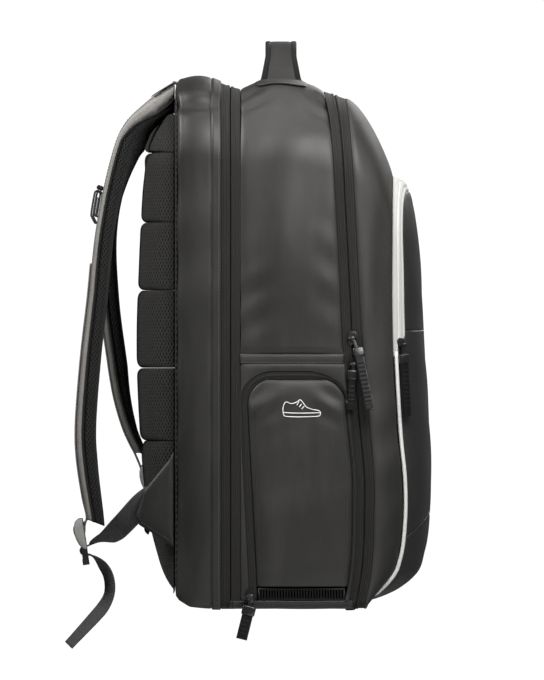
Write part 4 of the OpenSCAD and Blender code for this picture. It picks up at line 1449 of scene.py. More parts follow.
@dataclass
class RacketCompartment:
    """Rear shell that holds the rackets: gusset, back panel, quilted back and strap wings."""

    wear: Wardrobe
    line: Outline
    back_y: float = 105.0
    top: float = 531.0
    wall: float = 2.0
    hem_y: tuple[float, float] = (62.3, 69.0)
    lift: Table = ((60, 0), (68, 0), (91, 3), (102, 9), (105, 13))
    tops: Table = ((60, 528), (68, 531), (98, 531), (102, 530.5), (105, 528))
    insets: Table = ((60, 0), (98, 0), (102, 0.6), (105, 2.5))
    crest: Table = ((15, 107.6), (24, 112.4), (38, 119), (57, 125), (85, 132), (119, 137), (159, 140.6),
                    (216, 144), (285, 145), (325, 143.6), (392, 140.6), (429, 138), (468, 131), (490, 121),
                    (496, 119))
    buckle_room: Table = ((30, 9), (60, 11), (130, 10), (192, 0))
    buckle_x: float = 124.0
    seams: Sequence[float] = (496, 457, 387, 319, 241, 168, 15)
    pad_half: float = 146.0
    pad_least: float = 0.6
    pad_channel: float = 5.0
    pad_pucker: float = 0.5
    pucker_wave: float = 4.6
    neck_z: float = 440.0
    neck_rise: float = 4.0
    neck_width: float = 22.0
    buckle_width: float = 25.0
    wing_x: float = 152.0
    folds: Sequence[Fold] = (
        Fold((138, 86, 504), (60, 26, 5), -4.6),
        Fold((120, 88, 516), (50, 26, 6), 2.2),
        Fold((160, 88, 380), (40, 30, 160), 0.9, (0, 0.5, 1), 74.0),
        Fold((160, 88, 170), (40, 30, 130), 0.6, (0, 0.9, 0.5), 40.0))
    body: str = Body.RACKET.value

    @property
    def seat_y(self) -> float:
        """Depth that the cushions stand on."""
        return self.back_y + self.wall

    @staticmethod
    def waist(z: Points) -> Points:
        """Share by which the shell's rear edge is drawn in at a height."""
        return ramp(z, 508.0, 468.0) * ramp(z, 20.0, 80.0)

    def closed_ring(self, y: float) -> Points:
        """Outline at a depth, closed along the base, with its lowest points raised to the heel.

        Args:
            y: Depth.

        Returns:
            Points of the closed ring.
        """
        ring = self.line.ring(float(curve_lookup(y, self.tops)), float(curve_lookup(y, self.insets)))
        run = np.linspace(ring[-1, 0], ring[0, 0], 40)[1:-1]
        ring = np.concatenate([ring, points_of(run, ring[0, 1])])
        ring[:, 1] = np.maximum(ring[:, 1], straight_lookup(y, self.lift))
        return at_depth(ring, y)

    def gusset(self) -> None:
        """Coated ring with a turned hem beside the zip and a soft fold below its top corners.

        Rings of the outline, one for each depth, are pushed out by the hem, a half-sine belly and the folds,
        and drawn in by a power of the way to the rear edge.
        """
        y = np.concatenate([[105, 104.2, 103.2, 101.8, 100], np.linspace(98, 70.4, 26),
                            [69.6, 69.2, 68.6, 67.5, 66, 64.5, 63.2, 62.3, 61.6, 61, 60.4, 60]])
        grid = np.stack([self.closed_ring(depth) for depth in y])
        hem = ramp(y, 69.4, 68.6) * ramp(y, 60.0, 60.9)
        belly = np.sin(np.pi * ramp(y, 69.0, 103.0)) ** 0.8
        amount = (0.9 * hem - 0.8 * bell(y, 69.6, 0.7) + belly)[:, None]
        amount = amount - 2.6 * ramp(y, 70.5, 102.5)[:, None] ** 1.2 * self.waist(grid[..., 2])
        grid = pushed(grid, amount + folds_on(grid, self.folds, BOTH_SIDES), True)
        piece = cloth_grid("racket_gusset_cloth", grid, self.body, self.wear.racket, self.wear.lining,
                           closed=True, thick=self.wall)
        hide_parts("racket_gusset")
        out = grid_normals(grid, True)
        sewn = len(self.line.ring(self.top))
        threads = (self.wear.thread_light, self.wear.thread)
        for number, (depth, thread) in enumerate(zip(self.hem_y, threads), 1):
            row = int(np.argmin(np.abs(y - depth)))
            stitches(f"racket_hem_stitch_{number}", grid[row, :sewn], out[row, :sewn], self.body, thread)

    def back_panel(self) -> None:
        """Mesh-covered back, rounded into the gusset at its rim.

        Its rise is one less the fourteenth power of the place across, times one less the twentieth power of
        the place up.
        """
        low, high = 13.0, 525.4
        rim_top, inset = 528.0, 2.6
        t = edge_spaced(60, 0.7)
        z = low + (high - low) * t
        half = self.line.width_at(z, rim_top, inset) - 1.6 * self.waist(z)
        q = across_places(61)
        rim = 1.6 * (1 - np.abs(q) ** 14) * (1 - np.abs(2 * t - 1) ** 20)[:, None]
        grid = points_of(half[:, None] * q, self.back_y + 0.2 + rim, z[:, None])
        piece = cloth_grid("back_panel_net", grid, self.body, self.wear.net, self.wear.lining, thick=1.4)
        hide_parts("back_panel")
        rounded_copy("stiff_back_sheet", "back_sheet", self.body, self.wear.board, 0.4)

    def pad_half_at(self, z: Points) -> Points:
        """Half width of the quilted back, which narrows towards the shoulders."""
        return self.pad_half - 52.0 * (np.clip(z - self.neck_z, 0, None) / 60.0) ** 2

    def pad(self, number: int) -> Piece:
        """One quilted cushion: full in the middle, drawn in at its seams and at its sides.

        Its height is the rear line less a channel that grows with the fourteenth power of the distance from
        the middle, times one less the sixth power of the place across; puckers pull in along both seams, and
        the upper cushions are fuller between the straps. A hollow leaves room for the right buckle and its
        tail.

        Args:
            number: Cushion from the top, one to six.

        Returns:
            The new piece.
        """
        high, low = self.seams[number - 1] - 0.3, self.seams[number] + 0.3
        t = edge_spaced(38 if number == 6 else 30, 1.0)[:, None]
        q = across_places(73)
        z = low + (high - low) * t
        x = self.pad_half_at(z) * q
        fall = np.abs(2 * t - 1)
        lobe = (1 - np.abs(q) ** 6) ** 0.8
        full = curve_lookup(z, self.crest) - self.seat_y - self.pad_channel * fall ** 14
        height = np.maximum(full * lobe, self.pad_least)
        height = height + self.pad_pucker * fall ** 4 * np.sin(x / self.pucker_wave + number) * lobe
        neck = ramp(z, self.neck_z, self.neck_z + self.neck_width)
        height = height + self.neck_rise * neck * bell(x, 0.0, self.neck_width, 4)
        dent = bell(x, self.buckle_x, self.buckle_width, 4) * straight_lookup(z, self.buckle_room)
        height = np.maximum(height - dent, self.pad_least)
        height[[0, -1]] = np.maximum(height[[0, -1]] - 1.0, 0.5)
        height[:, [0, -1]] = 0.4
        top, under = points_of(x, self.seat_y + height, z), points_of(x, self.seat_y + 0.1, z)
        piece = closed_form(f"back_cushion_{number}", top, under, self.body, self.wear.net)
        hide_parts(f"back_pad_{number}")
        return piece

    def yoke(self) -> None:
        """Flat cushion on the back between the strap roots, thinner towards the top.

        Its height is a falling line times the square root of a product: one less the eighth power of the
        place across, and one less the eighth power of the place up.
        """
        t = edge_spaced(16, 1.0)[:, None]
        q = across_places(25)
        x, z = 28.0 * q, 497.0 + 28.0 * t
        edge = (1 - q ** 8) * (1 - np.abs(2 * t - 1) ** 8)
        y = self.seat_y + (6.0 - 3.0 * t) * np.maximum(edge, 0.0) ** 0.5
        under = points_of(x, self.seat_y - 0.1, z)
        piece = closed_form("back_yoke", points_of(x, y, z), under, self.body, self.wear.net)

    def quilt_seam(self, number: int) -> None:
        """Tape in the channel below a cushion, from the back panel to just under the cushions' edges.

        Its height across is that of the cushions: one less the sixth power of the place, to the power 0.8.

        Args:
            number: Cushion from the top, one to five.
        """
        z = self.seams[number]
        q = across_places(61)
        x = q * float(self.pad_half_at(np.array(z))) * 0.985
        full = float(curve_lookup(z, self.crest)) - self.seat_y - 6.4
        rise = np.maximum(full * (1 - np.abs(q) ** 6) ** 0.8, 0.4)
        grid = points_of(x, self.seat_y + np.linspace(0.2, 1.0, 6)[:, None] * rise, z + 0.2)
        cloth_grid(f"quilt_seam_{number}", grid, self.body, self.wear.binding, thick=0.4)

    def wing(self, side: Side) -> None:
        """Three-cornered wing that the webbing is sewn to: a flat pillow with stitched edges.

        Args:
            side: Side that it is sewn to.
        """
        corners = np.array([[107.2, 158], [112, 149], [137, 118], [145, 93], [142, 84], [129, 76],
                            [107.2, 62], [107.2, 158]])
        rim = spaced(np.insert(corners, 2, 0.0, 1), 3.0)[:, :2]
        centre = np.array([120.0, 108.0])
        flat, puff = pillow(rim, centre, 14, 2.0, 8)
        x = self.wing_x * side.value
        outer = points_of(x + side.value * puff, flat[..., 0], flat[..., 1])
        inner = points_of(x - side.value * puff, flat[..., 0], flat[..., 1])
        grid = np.concatenate([outer[::-1], inner[1:]])
        if side is Side.LEFT:
            grid = grid[::-1]
        piece = cloth_grid(f"wing_{side.word}_pad", grid, self.body, self.wear.racket, closed=True)
        weld(piece.data)
        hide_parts(f"wing_{side.word}")
        sewn = centre + (rim - centre) * 0.9
        route = points_of(x + side.value * 1.25, sewn[:, 0], sewn[:, 1])
        stitches(f"wing_{side.word}_stitch", route, (side.value, 0.0, 0.0), self.body, self.wear.thread)

    def build(self) -> None:
        """Builds the shell's pieces in order."""
        self.gusset()
        self.back_panel()
        for number in range(1, 7):
            self.pad(number)
            if number < 6:
                self.quilt_seam(number)
        self.yoke()
        for side in Side:
            self.wing(side)


@dataclass
class ShoulderStrap:
    """One shoulder strap: cloth shell, mesh pad, binding, webbing overlay, keeper, buckle and webbing."""

    wear: Wardrobe
    side: Side
    route: Table
    pad_depth: Table
    lock_x: float
    top_bar: tuple[float, float]
    tooth_bar: tuple[float, float]
    keeper_place: tuple[float, float, float]
    web_in: Table
    web_wrap: Sequence[float]
    web_tail: Table
    width: float = 62.0
    skin: Table = ((0, 16), (0.05, 18), (0.12, 17), (0.2, 11.5), (0.28, 7), (0.4, 6), (0.6, 6.5), (1, 7))
    half_share: Table = ((0, 0.5), (0.35, 0.5), (0.8, 0.42), (1, 0.34))
    slope: Table = ((0, 0), (0.06, 0.02), (0.11, 0.04), (0.17, 0.12), (0.22, 0.19), (0.28, 0.22),
                    (0.33, 0.15), (0.39, 0.02), (0.42, 0), (1, 0))
    power: float = 5.0
    sewn_at: float = 0.82
    overlay_half: float = 15.0
    overlay_from: float = 0.5
    overlay_seam: float = 10.5
    bar_d: float = 4.6
    web_w: float = 24.0
    web_t: float = 1.8
    split: int = 18

    def __post_init__(self) -> None:
        """Works out the strap's centre line and its directions."""
        self.word, self.sign = self.side.word, self.side.value
        self.body, self.lock_body = f"strap_{self.word}", f"buckle_{self.word}"
        self.path = smooth_route(self.route, 12) * (self.sign, 1, 1)
        self.share = np.linspace(0, 1, len(self.path))
        along = heading(self.path * (0, 1, 1))
        self.out = points_of(0.0, -along[:, 2], along[:, 1])
        turn = ramp(self.share, 0.0, 0.12)[:, None]
        cut = ramp(self.share, 0.86, 1.0)[:, None]
        self.inward = unit(self.out * -turn + np.array([0.0, 0.0, -1.0]) * (1 - turn) + along * 0.6 * cut)
        self.half = straight_lookup(self.share, self.half_share) * self.width
        self.fall = self.half * straight_lookup(self.share, self.slope)

    def sunk(self, depth: Points, across: Points) -> Points:
        """Grid of the strap at depths below its outer line and places across it.

        The strap's neck side leans in to the back by its slope, which is greatest behind the shoulders. At
        its root the depth runs straight down, so that the strap stands flat against the back, and at its end
        it slants down, so that the strap is cut off aslant.

        Args:
            depth: Depth for each row and column.
            across: Place for each row and column, as a share of the half width, the left side negative.

        Returns:
            Points as rows, columns, three.
        """
        low = depth + self.fall[:, None] * (1 - across * self.sign)
        sideways = np.array(TO_RIGHT) * (across * self.half[:, None])[..., None]
        return self.path[:, None] + self.inward[:, None] * low[..., None] + sideways

    def rounded_section(self) -> tuple[Points, Points]:
        """Half superellipse: place across and share of the height, from one rim to the other."""
        a = np.linspace(-np.pi / 2, np.pi / 2, 29)
        return signed_power(np.sin(a), 2 / self.power), np.clip(np.cos(a), 0, None) ** (2 / self.power)

    def shell_and_pad(self) -> None:
        """Outer cloth shell and inner mesh pad, which meet at the bound edge.

        Both are half superellipses across the strap: the shell rises from the edge to the outer line, and the
        pad sinks from the edge to its own depth.
        """
        q, rise = self.rounded_section()
        skin = straight_lookup(self.share, self.skin)[:, None]
        deep = straight_lookup(self.share, self.pad_depth)[:, None]
        rows = np.broadcast_to(q, (len(self.path), len(q)))
        ripple = 0.22 * np.sin(self.share * 95)[:, None] * ramp(np.abs(q), 0.75, 1.0)
        outer = self.sunk(skin * (1 - rise) + ripple, rows)[::-1]
        inner = self.sunk(skin + (deep - skin) * rise + 0.4, rows)
        seat = self.sunk(skin, rows)
        shell = closed_form(f"strap_cloth_{self.word}", outer, self.sunk(skin - 0.2, rows)[::-1], self.body,
                            self.wear.strap)
        pad = closed_form(f"strap_mesh_{self.word}", inner, self.sunk(skin + 0.5, rows), self.body,
                          self.wear.net_strap)
        for piece, node in ((shell, "strap_shell"), (pad, "strap_pad")):
            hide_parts(f"{node}_{self.word}")
        low = 1 - (1 - self.sewn_at ** self.power) ** (1 / self.power)
        sewn = self.sunk(skin * low - 0.1, rows * self.sewn_at)
        cord = round_profile(1.5, 8, 0.8)
        for edge, column in (("inner", 0), ("outer", -1)):
            tube_piece(f"strap_binding_{edge}_{self.word}", seat[:, column], self.out, cord, self.body,
                       self.wear.binding)
            stitches(f"strap_stitch_{edge}_{self.word}", sewn[:, column], self.out, self.body,
                     self.wear.thread_light)

    def overlay(self) -> None:
        """Webbing sewn down the lower strap that runs on round the buckle's top bar and back under itself."""
        first = int(self.overlay_from * len(self.path))
        sewn = (self.path + self.out * (0.9 - self.fall)[:, None])[first:]
        steep = (self.fall / self.half * self.sign)[first:]
        y, z = self.top_bar
        r = self.bar_d / 2 + 1.7
        loop = np.array([[y + r + 1.2, z - 1], [y + r + 1.5, z - 9], [y + 1.5, z - 13], [y - r + 0.5, z - 9],
                         [y - r - 0.3, z], [y - r - 3.5, z + 9]])
        places = points_of(self.lock_x * self.sign, *loop.T)
        pick = np.append(np.arange(0, len(sewn), max(1, len(sewn) // 8))[:-1], len(sewn) - 1)
        steps = 6
        route = smooth_route(np.concatenate([sewn[pick], places]), steps)
        forward = heading(route)
        knots = np.append(np.arange(len(pick)), len(pick) + 1)
        tilt = np.interp(np.arange(len(route)) / steps, knots, np.append(steep[pick], 0.0))
        up = np.cross(forward, unit(TO_RIGHT - np.cross(forward, TO_RIGHT) * tilt[:, None]))
        profile = slab_profile(self.overlay_half - 2.5, 2.2)
        piece = tube_piece(f"strap_webbing_{self.word}", route, up, profile, self.body, self.wear.strap)
        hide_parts(f"strap_overlay_{self.word}")
        for edge, shift in (("a", -self.overlay_seam), ("b", self.overlay_seam)):
            line = sewn + (shift, 0.0, 0.0) + self.out[first:] * (0.82 + steep * shift)[:, None]
            stitches(f"overlay_stitch_{edge}_{self.word}", line[:-9], self.out[first:-9], self.body,
                     self.wear.thread_light)

    def keeper(self) -> None:
        """Webbing folded in on itself and sewn to the strap's outer face, with a bar held at its top."""
        fold = ((1.6, -16.6), (3.4, -15.6), (6.4, -11.4), (8, -7.4), (8, 12), (6.8, 15.4), (4.4, 16),
                (2.6, 14), (2.2, 9), (2.2, -6), (3, -9.2), (4.6, -8.2), (5.2, -5), (5.2, 10))
        flat = turned(smooth_route(fold, 5), math.radians(9.5))
        x, y, z = self.keeper_place
        route = points_of(x * self.sign, flat[:, 0] + y, flat[:, 1] + z)
        piece = tube_piece(f"keeper_fold_{self.word}", route, upright(route, TO_RIGHT),
                           slab_profile(13.0, 1.9, 16, 6.0), self.body, self.wear.webbing)
        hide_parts(f"keeper_{self.word}")
        rounded_copy(f"keeper_slide_{self.word}", f"keeper_bar_{self.word}", self.body, self.wear.plastic,
                     0.9, 3)

    def root(self) -> None:
        """Cloth that carries the strap's outer face on into the seam between back panel and gusset."""
        lead = int(np.argmax(self.share > 0.1))
        seam = smooth_route(((103.6, 526.8), (106.4, 528.0), (108.2, 527.4)), 4)
        start = points_of(self.path[0, 0], *seam.T)
        route = np.concatenate([start, (self.path + self.out * 0.5)[1:lead]])
        thin = np.linspace(2.4, 0.5, len(route))
        profile = np.stack([slab_profile(30.4, thick, 28, 8.0) for thick in thin])
        piece = tube_piece(f"strap_root_{self.word}", route, upright(route, TO_RIGHT), profile, "",
                           self.wear.strap)
        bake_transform(piece)

    def buckle(self) -> None:
        """Ladder-lock buckle with rounded edges and a grey cheek on each of its sides, painted light grey as
        the lamps' highlight on the glossy black plastic.
        """
        rounded_copy(f"buckle_frame_{self.word}", f"ladder_lock_{self.word}", self.lock_body,
                     self.wear.plastic, 0.7, 3)
        run = np.subtract(self.tooth_bar, self.top_bar)
        rim = smooth_route(((-2.6, 5.2), (1.4, 5.7), (4.7, 3.2), (6.6, -2), (7, -8), (6, -13.8), (4.1, -19),
                            (1.3, -23.2), (-2.6, -24.2), (-2.6, -14), (-2.6, -4), (-2.6, 5.2)), 5)
        flat, puff = pillow(rim, (1.6, -9.0), 8, 1.1, 4)
        flat = turned(flat, math.atan2(run[0], -run[1])) + self.top_bar
        for word, way in (("inner", -1), ("outer", 1)):
            x = (self.lock_x + way * (16.15 + puff)) * self.sign
            grid = points_of(x, flat[..., 0], flat[..., 1])
            if way * self.sign < 0:
                grid = grid[::-1]
            # painted highlight: each cheek is light grey where the glossy black buckle reflects the lamps
            cheek = cloth_grid(f"buckle_cheek_{word}_{self.word}", grid, self.lock_body,
                               self.wear.buckle_highlight_grey)
            weld(cheek.data)

    def webbing(self) -> None:
        """Adjusting webbing from the wing through the buckle to its free tail.

        It is two pieces that ride on no body: the first from the racket shell to the strap, the second from
        the strap to the buckle.
        """
        r = self.bar_d / 2 + 0.9 + self.web_t / 2
        a = np.radians(self.web_wrap)
        y, z = self.tooth_bar
        wrap = points_of(self.lock_x, y + r * np.cos(a), z + r * np.sin(a), self.web_w / 2, 0.0, 0.0)
        rows = smooth_route(np.concatenate([self.web_in, wrap, self.web_tail]), 8)
        centre, half = rows[:, :3] * (self.sign, 1, 1), rows[:, 3:] * (self.sign, 1, 1)
        up = np.cross(heading(centre), unit(half))
        wide = np.linalg.norm(half, axis=1)
        profile = np.stack([slab_profile(width, self.web_t, 16, 6.0) for width in wide])
        parts = (("run", slice(0, self.split + 1), -1, "stretched", f"wing_{self.word}_pad"),
                 ("tail", slice(self.split, None), 10, "hung", f"buckle_frame_{self.word}"))
        for number, (word, part, end, held, rest) in enumerate(parts):
            name = f"webbing_{word}_{self.word}"
            route = centre[part]
            piece = tube_piece(name, route, up[part], profile[part], "", self.wear.webbing)
            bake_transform(piece)
            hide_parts(f"webbing_{self.word}")

    def build(self) -> None:
        """Builds the strap's pieces in order."""
        self.shell_and_pad()
        self.root()
        self.overlay()
        self.keeper()
        self.buckle()
        self.webbing()


def left_strap(wear: Wardrobe) -> ShoulderStrap:
    """Strap on the wearer's left, which hangs free.

    Args:
        wear: Finishes to use.

    Returns:
        The strap, ready to build.
    """
    return ShoulderStrap(
        wear, Side.LEFT,
        route=((62, 107.3, 527), (63, 134, 510), (65, 159, 486), (68, 172, 451), (73, 186, 379),
               (78, 193, 312), (84, 200, 250), (90, 205, 181), (94, 202.5, 139), (96, 194, 89)),
        pad_depth=((0, 27), (0.06, 25), (0.12, 22.5), (0.2, 20.5), (0.3, 18.5), (0.85, 19.5), (1, 18)),
        lock_x=96.0, top_bar=(201, 84), tooth_bar=(197, 58), keeper_place=(71, 181.3, 402),
        web_in=((149, 128, 113, 0, 6.5, 10), (146.5, 140, 104, 2, 6, 10), (134, 158, 85, 6, 4, 9),
                (113, 172, 71.5, 10, 1.5, 5.5), (96.5, 186, 66, 12, 0.3, 0.6)),
        web_wrap=(105, 60, 15, -30, -75),
        web_tail=((96, 190, 53, 12, 0, 0), (98, 180, 44, 11, -2, 4), (99, 174, 35, 11, -4, 3),
                  (100, 171.5, 24, 10.5, -5, 1), (100, 172.5, 13, 10.5, -5, -1), (100, 178, 2, 10.5, -5, -3),
                  (100, 188, -10, 10.5, -5, -3), (100, 213, -37, 10.5, -6, 0)))


def right_strap(wear: Wardrobe) -> ShoulderStrap:
    """Strap on the wearer's right, drawn in towards the back.

    Args:
        wear: Finishes to use.

    Returns:
        The strap, ready to build.
    """
    return ShoulderStrap(
        wear, Side.RIGHT,
        route=((62, 107.3, 527), (63, 134, 508), (65, 159, 484), (68, 172, 451), (76, 184, 379),
               (86, 182, 312), (97, 175, 255), (109, 168, 212), (118, 158, 178), (123, 147, 155)),
        pad_depth=((0, 27), (0.06, 25), (0.12, 22.5), (0.2, 20.5), (0.3, 18.5), (0.7, 18), (0.9, 12),
                   (1, 11)),
        lock_x=124.0, top_bar=(136, 139), tooth_bar=(134, 113), keeper_place=(73.5, 180.2, 402),
        web_in=((149, 131, 82, 0, 4, 11), (144, 139, 87, 4, 4, 10), (134, 144, 94, 10, 2, 5),
                (125, 143, 102, 12, 0, 0)),
        web_wrap=(-30, 15, 60, 105, 150, 190),
        web_tail=((124, 128.6, 103, 12, 0, 0), (125, 127, 92, 12, 0, 0), (131, 124.5, 76, 12, 0, 0),
                  (134, 121, 60, 12, 0, 0), (135, 119, 42, 12, 0, 0)), split=12)


@dataclass
class FrontShell:
    """Front shell: gusset, white pocket zip and piping, front panels, pocket flap and pocket wall."""

    wear: Wardrobe
    line: Outline
    panel: RoundTop = RoundTop(half_width=146.0, top_radius=66.0, foot_radius=6.0, foot_z=17.0)
    wall: float = 2.0
    top: float = 433.0
    fold: float = 279.0
    main_zip_top: float = 512.0
    tape_half: float = 9.5
    zip_w: float = 14.0
    zip_low: float = 247.0
    zip_from: tuple[float, float] = (252.0, 276.0)
    piping_w: float = 3.3
    piping_top: float = 258.0
    binding_top: float = 62.0
    power: float = 5.0
    edge: Table = ((5, -79), (9, -94), (16, -112), (24, -125), (33, -135), (58, -145), (102, -150),
                   (122, -151), (206, -148), (284, -143), (350, -140), (404, -133), (419, -129), (426, -125),
                   (431, -120), (433, -113.5))
    seam: Table = ((5, -77), (11, -84), (16, -94), (24, -103), (35, -112), (49, -117), (85, -122),
                   (129, -122), (169, -118), (224, -114.5), (254, -113), (434, -112.5))
    side_folds: Sequence[Fold] = (
        Fold((150, -92, 360), (60, 22, 120), 0.5, (0, 1, 0.1), 30.0),
        Fold((150, -100, 160), (60, 26, 90), 0.6, (0, 0.7, 1), 46.0))
    panel_folds: Sequence[Fold] = (Fold((0, -140, 240), (130, 60, 160), 0.5, (0.4, 0, 1), 60.0),)
    body: str = Body.FRONT.value

    def seam_half(self, inset: float = 0.0) -> Points:
        """Left half of the front panel's outline, with as many points as the bag's outline."""
        return self.panel.half(self.top, inset)

    def arch_half(self, z: Points, inset: Points) -> Points:
        """Half width of the panel's outline at a height."""
        return self.panel.width_at(z, self.top, inset)

    def depth(self, z: Points, x: Points) -> Points:
        """Depth of the front surface.

        It goes from its seam to its edge line by one less the fifth power of the place across.

        Args:
            z: Heights.
            x: Places across in millimetres.

        Returns:
            One depth for each place.
        """
        ys, yf = curve_lookup(z, self.seam), curve_lookup(z, self.edge)
        q = np.clip(np.abs(x) / np.maximum(self.arch_half(z, 0.0), 1.0), 0, 1)
        return ys + (yf - ys) * (1 - q ** self.power)

    def on_front(self, x: Points, z: Points) -> Points:
        """Points on the front surface at places across and heights."""
        return points_of(x, self.depth(z, x), z)

    def gusset(self) -> None:
        """Loft from the main zip to the panel's seam: straight on first, then drawn in.

        From zip to seam, x and z go by the share of the way to the power 1.5, the depth by the share itself.
        """
        f = edge_spaced(44, 0.5)[:, None, None]
        zip_side = self.line.beside_zip(self.line.ring(self.main_zip_top), -self.tape_half)
        panel_side = self.on_front(*mirrored(self.seam_half()).T)
        g = f ** 1.5
        grid = zip_side + (panel_side - zip_side) * np.concatenate([g, f, g], -1)
        t = f[..., 0]
        amount = 1.8 * np.sin(np.pi * t) ** 0.8 - 1.2 * both_ends(t, 26.0)
        grid = pushed(grid, amount + folds_on(grid, self.side_folds, BOTH_SIDES))
        piece = cloth_grid("front_gusset_cloth", grid, self.body, self.wear.body, self.wear.lining,
                           thick=self.wall)
        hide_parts("front_gusset")

    def zip_inset(self, z: Points) -> Points:
        """Inner edge of the white zip: narrow piping below, its full width above."""
        t = ramp(z, *self.zip_from)
        return self.piping_w + (self.zip_w - self.piping_w) * t * t * (3 - 2 * t)

    def clear_inset(self, z: Points) -> Points:
        """Edge of the panels, which keep clear of the piping and of the zip's narrow end."""
        return self.zip_inset(z) + 0.3

    def white_zip(self) -> None:
        """White pocket zip over the arch: a raised coil between two ridges, narrowing into the piping.

        A flat-topped bell with a groove in its middle raises its rows, and two narrow bells lower them.
        """
        keep = self.seam_half()[:, 1] > self.zip_low
        outer, inner = self.seam_half()[keep], self.seam_half(self.zip_w)[keep]
        wide = (inner - outer) * ((self.zip_inset(outer[:, 1]) - 0.2) / self.zip_w)[:, None]
        f = edge_spaced(26, 0.2)
        grid = np.stack([self.on_front(*mirrored(outer + wide * share).T) for share in f])
        coil_at = 0.53
        bump = 0.9 * bell(f, coil_at, 0.13, 4) - 0.5 * bell(f, coil_at, 0.025)
        dip = 0.7 * (bell(f, 0.32, 0.03) + bell(f, 0.75, 0.03))
        rim = 0.5 * np.exp(-f * 30) - 0.4 * np.exp(-(1 - f) * 30)
        grid = pushed(grid, (bump - dip + rim)[:, None])
        piece = cloth_grid("pocket_zip_white", grid, self.body, self.wear.white_tape, thick=1.1)
        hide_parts("pocket_zip_tape")

    def white_piping(self) -> None:
        """White piping cords from the zip down the seam to the foot."""
        half = self.seam_half(1.5)
        x, z = half[half[:, 1] < self.piping_top].T
        cord = round_profile(2.3, 12, 0.8)
        for side in Side:
            up = np.array([0.5 * side.value, -0.8, 0.0])
            route = self.on_front(x * -side.value, z) + unit(up) * 0.8
            tube_piece(f"piping_{side.word}", route, up, cord, self.body, self.wear.piping)
        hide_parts("piping")

    def skin(self, name: str, low: Points, high: Points, inset: Callable[[Points], Points], node: str,
             body: str, steps: int = 40) -> Piece:
        """Front surface between two lines of heights across it.

        Its rim is drawn in by the exponential of minus the distance from its edges.

        Args:
            name: Name of the piece.
            low: Heights of the lower line at the places across.
            high: Heights of the upper line.
            inset: Distance from the seam at a height.
            node: CAD node that it stands for.
            body: Body that it rides on.
            steps: Rows of the grid.

        Returns:
            The new piece.
        """
        q = self.places_across()
        t = edge_spaced(steps, 0.6)[:, None]
        z = low + (high - low) * t
        grid = self.on_front(q * self.arch_half(z, inset(z)), z)
        below = t + FAR * (node == "pocket_flap")
        above = 1 - t + FAR * (node == "lower_front_panel")
        edge = np.minimum(1 - np.abs(q), np.minimum(below, above) * 2.0)
        grid = pushed(grid, folds_on(grid, self.panel_folds) - np.exp(-edge * 45))
        piece = cloth_grid(name, grid, body, self.wear.panel, self.wear.lining, thick=self.wall)
        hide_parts(node)
        return piece

    @staticmethod
    def places_across() -> Points:
        """Places across the front panel from right to left, crowded at both sides."""
        return across_places(81)[::-1]

    def toe_line(self) -> Points:
        """Height of the toe seam, which falls by the fourth power of the place across."""
        return 95.0 - 24.0 * np.abs(self.places_across()) ** 4

    def panels(self) -> None:
        """Toe panel, lower front panel and the pocket flap above it."""
        line = self.toe_line()
        flat = np.ones_like(line)
        self.skin("toe_cloth", flat * 5.0, line - 0.2, self.clear_inset, "toe_panel", self.body)
        self.skin("lower_front_cloth", line + 0.2, flat * (self.fold - 0.4), self.clear_inset,
                  "lower_front_panel", self.body)
        inset = self.zip_w + 0.5
        flap = self.skin("pocket_flap_cloth", flat * self.fold, flat * (self.top - inset),
                         lambda z: np.full_like(z, inset), "pocket_flap", Body.POCKET.value, 44)
        self.fold_tape()
        q = self.places_across()
        out = unit(points_of(0.6 * q, -1.0, 0.0))
        for number, shift in enumerate((1.8, 4.4), 1):
            z = line + shift
            route = self.on_front(q * self.arch_half(z, 5.0), z) - (0.0, 0.15, 0.0)
            stitches(f"toe_stitch_{number}", route[3:-3], out[3:-3], self.body, self.wear.thread)

    def fold_tape(self) -> None:
        """Binding behind the line that the pocket flap folds along."""
        z = np.linspace(self.fold - 7.0, self.fold + 5.0, 7)[:, None]
        x = self.places_across() * (self.arch_half(z, self.zip_w + 0.5) - 1.0)
        grid = pushed(self.on_front(x, z), -3.0)
        piece = cloth_grid("pocket_fold_tape", grid, self.body, self.wear.binding, thick=0.9)

    def seam_binding(self) -> None:
        """Dark tape inside the lower seams, behind the piping cords."""
        halves = [self.seam_half(float(inset)) for inset in np.linspace(-0.6, 8.0, 6)]
        lows = [half[half[:, 1] < self.binding_top].T for half in halves]
        for side in Side:
            grid = np.stack([self.on_front(x * -side.value, z) for x, z in lows])
            grid = grid[::-1] if side is Side.RIGHT else grid
            piece = cloth_grid(f"seam_binding_{side.word}", pushed(grid, -2.6), self.body, self.wear.binding,
                               thick=0.8)

    def pocket_wall(self) -> None:
        """Lining wall at the back of the front pocket, sagging by a cosine across times a half sine up."""
        z = np.linspace(44, 429, 40)[:, None]
        q = np.linspace(1, -1, 31)
        sag = 1.2 * np.cos(np.pi * q / 2) * np.sin(np.pi * np.linspace(0, 1, 40))[:, None]
        grid = points_of(self.arch_half(z, 3.0) * q, -107.6 - sag, z)
        piece = cloth_grid("pocket_lining", grid, self.body, self.wear.lining, thick=1.0)
        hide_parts("pocket_wall")

    def build(self) -> None:
        """Builds the shell's pieces in order."""
        self.gusset()
        self.white_zip()
        self.white_piping()
        self.panels()
        self.seam_binding()
        self.pocket_wall()


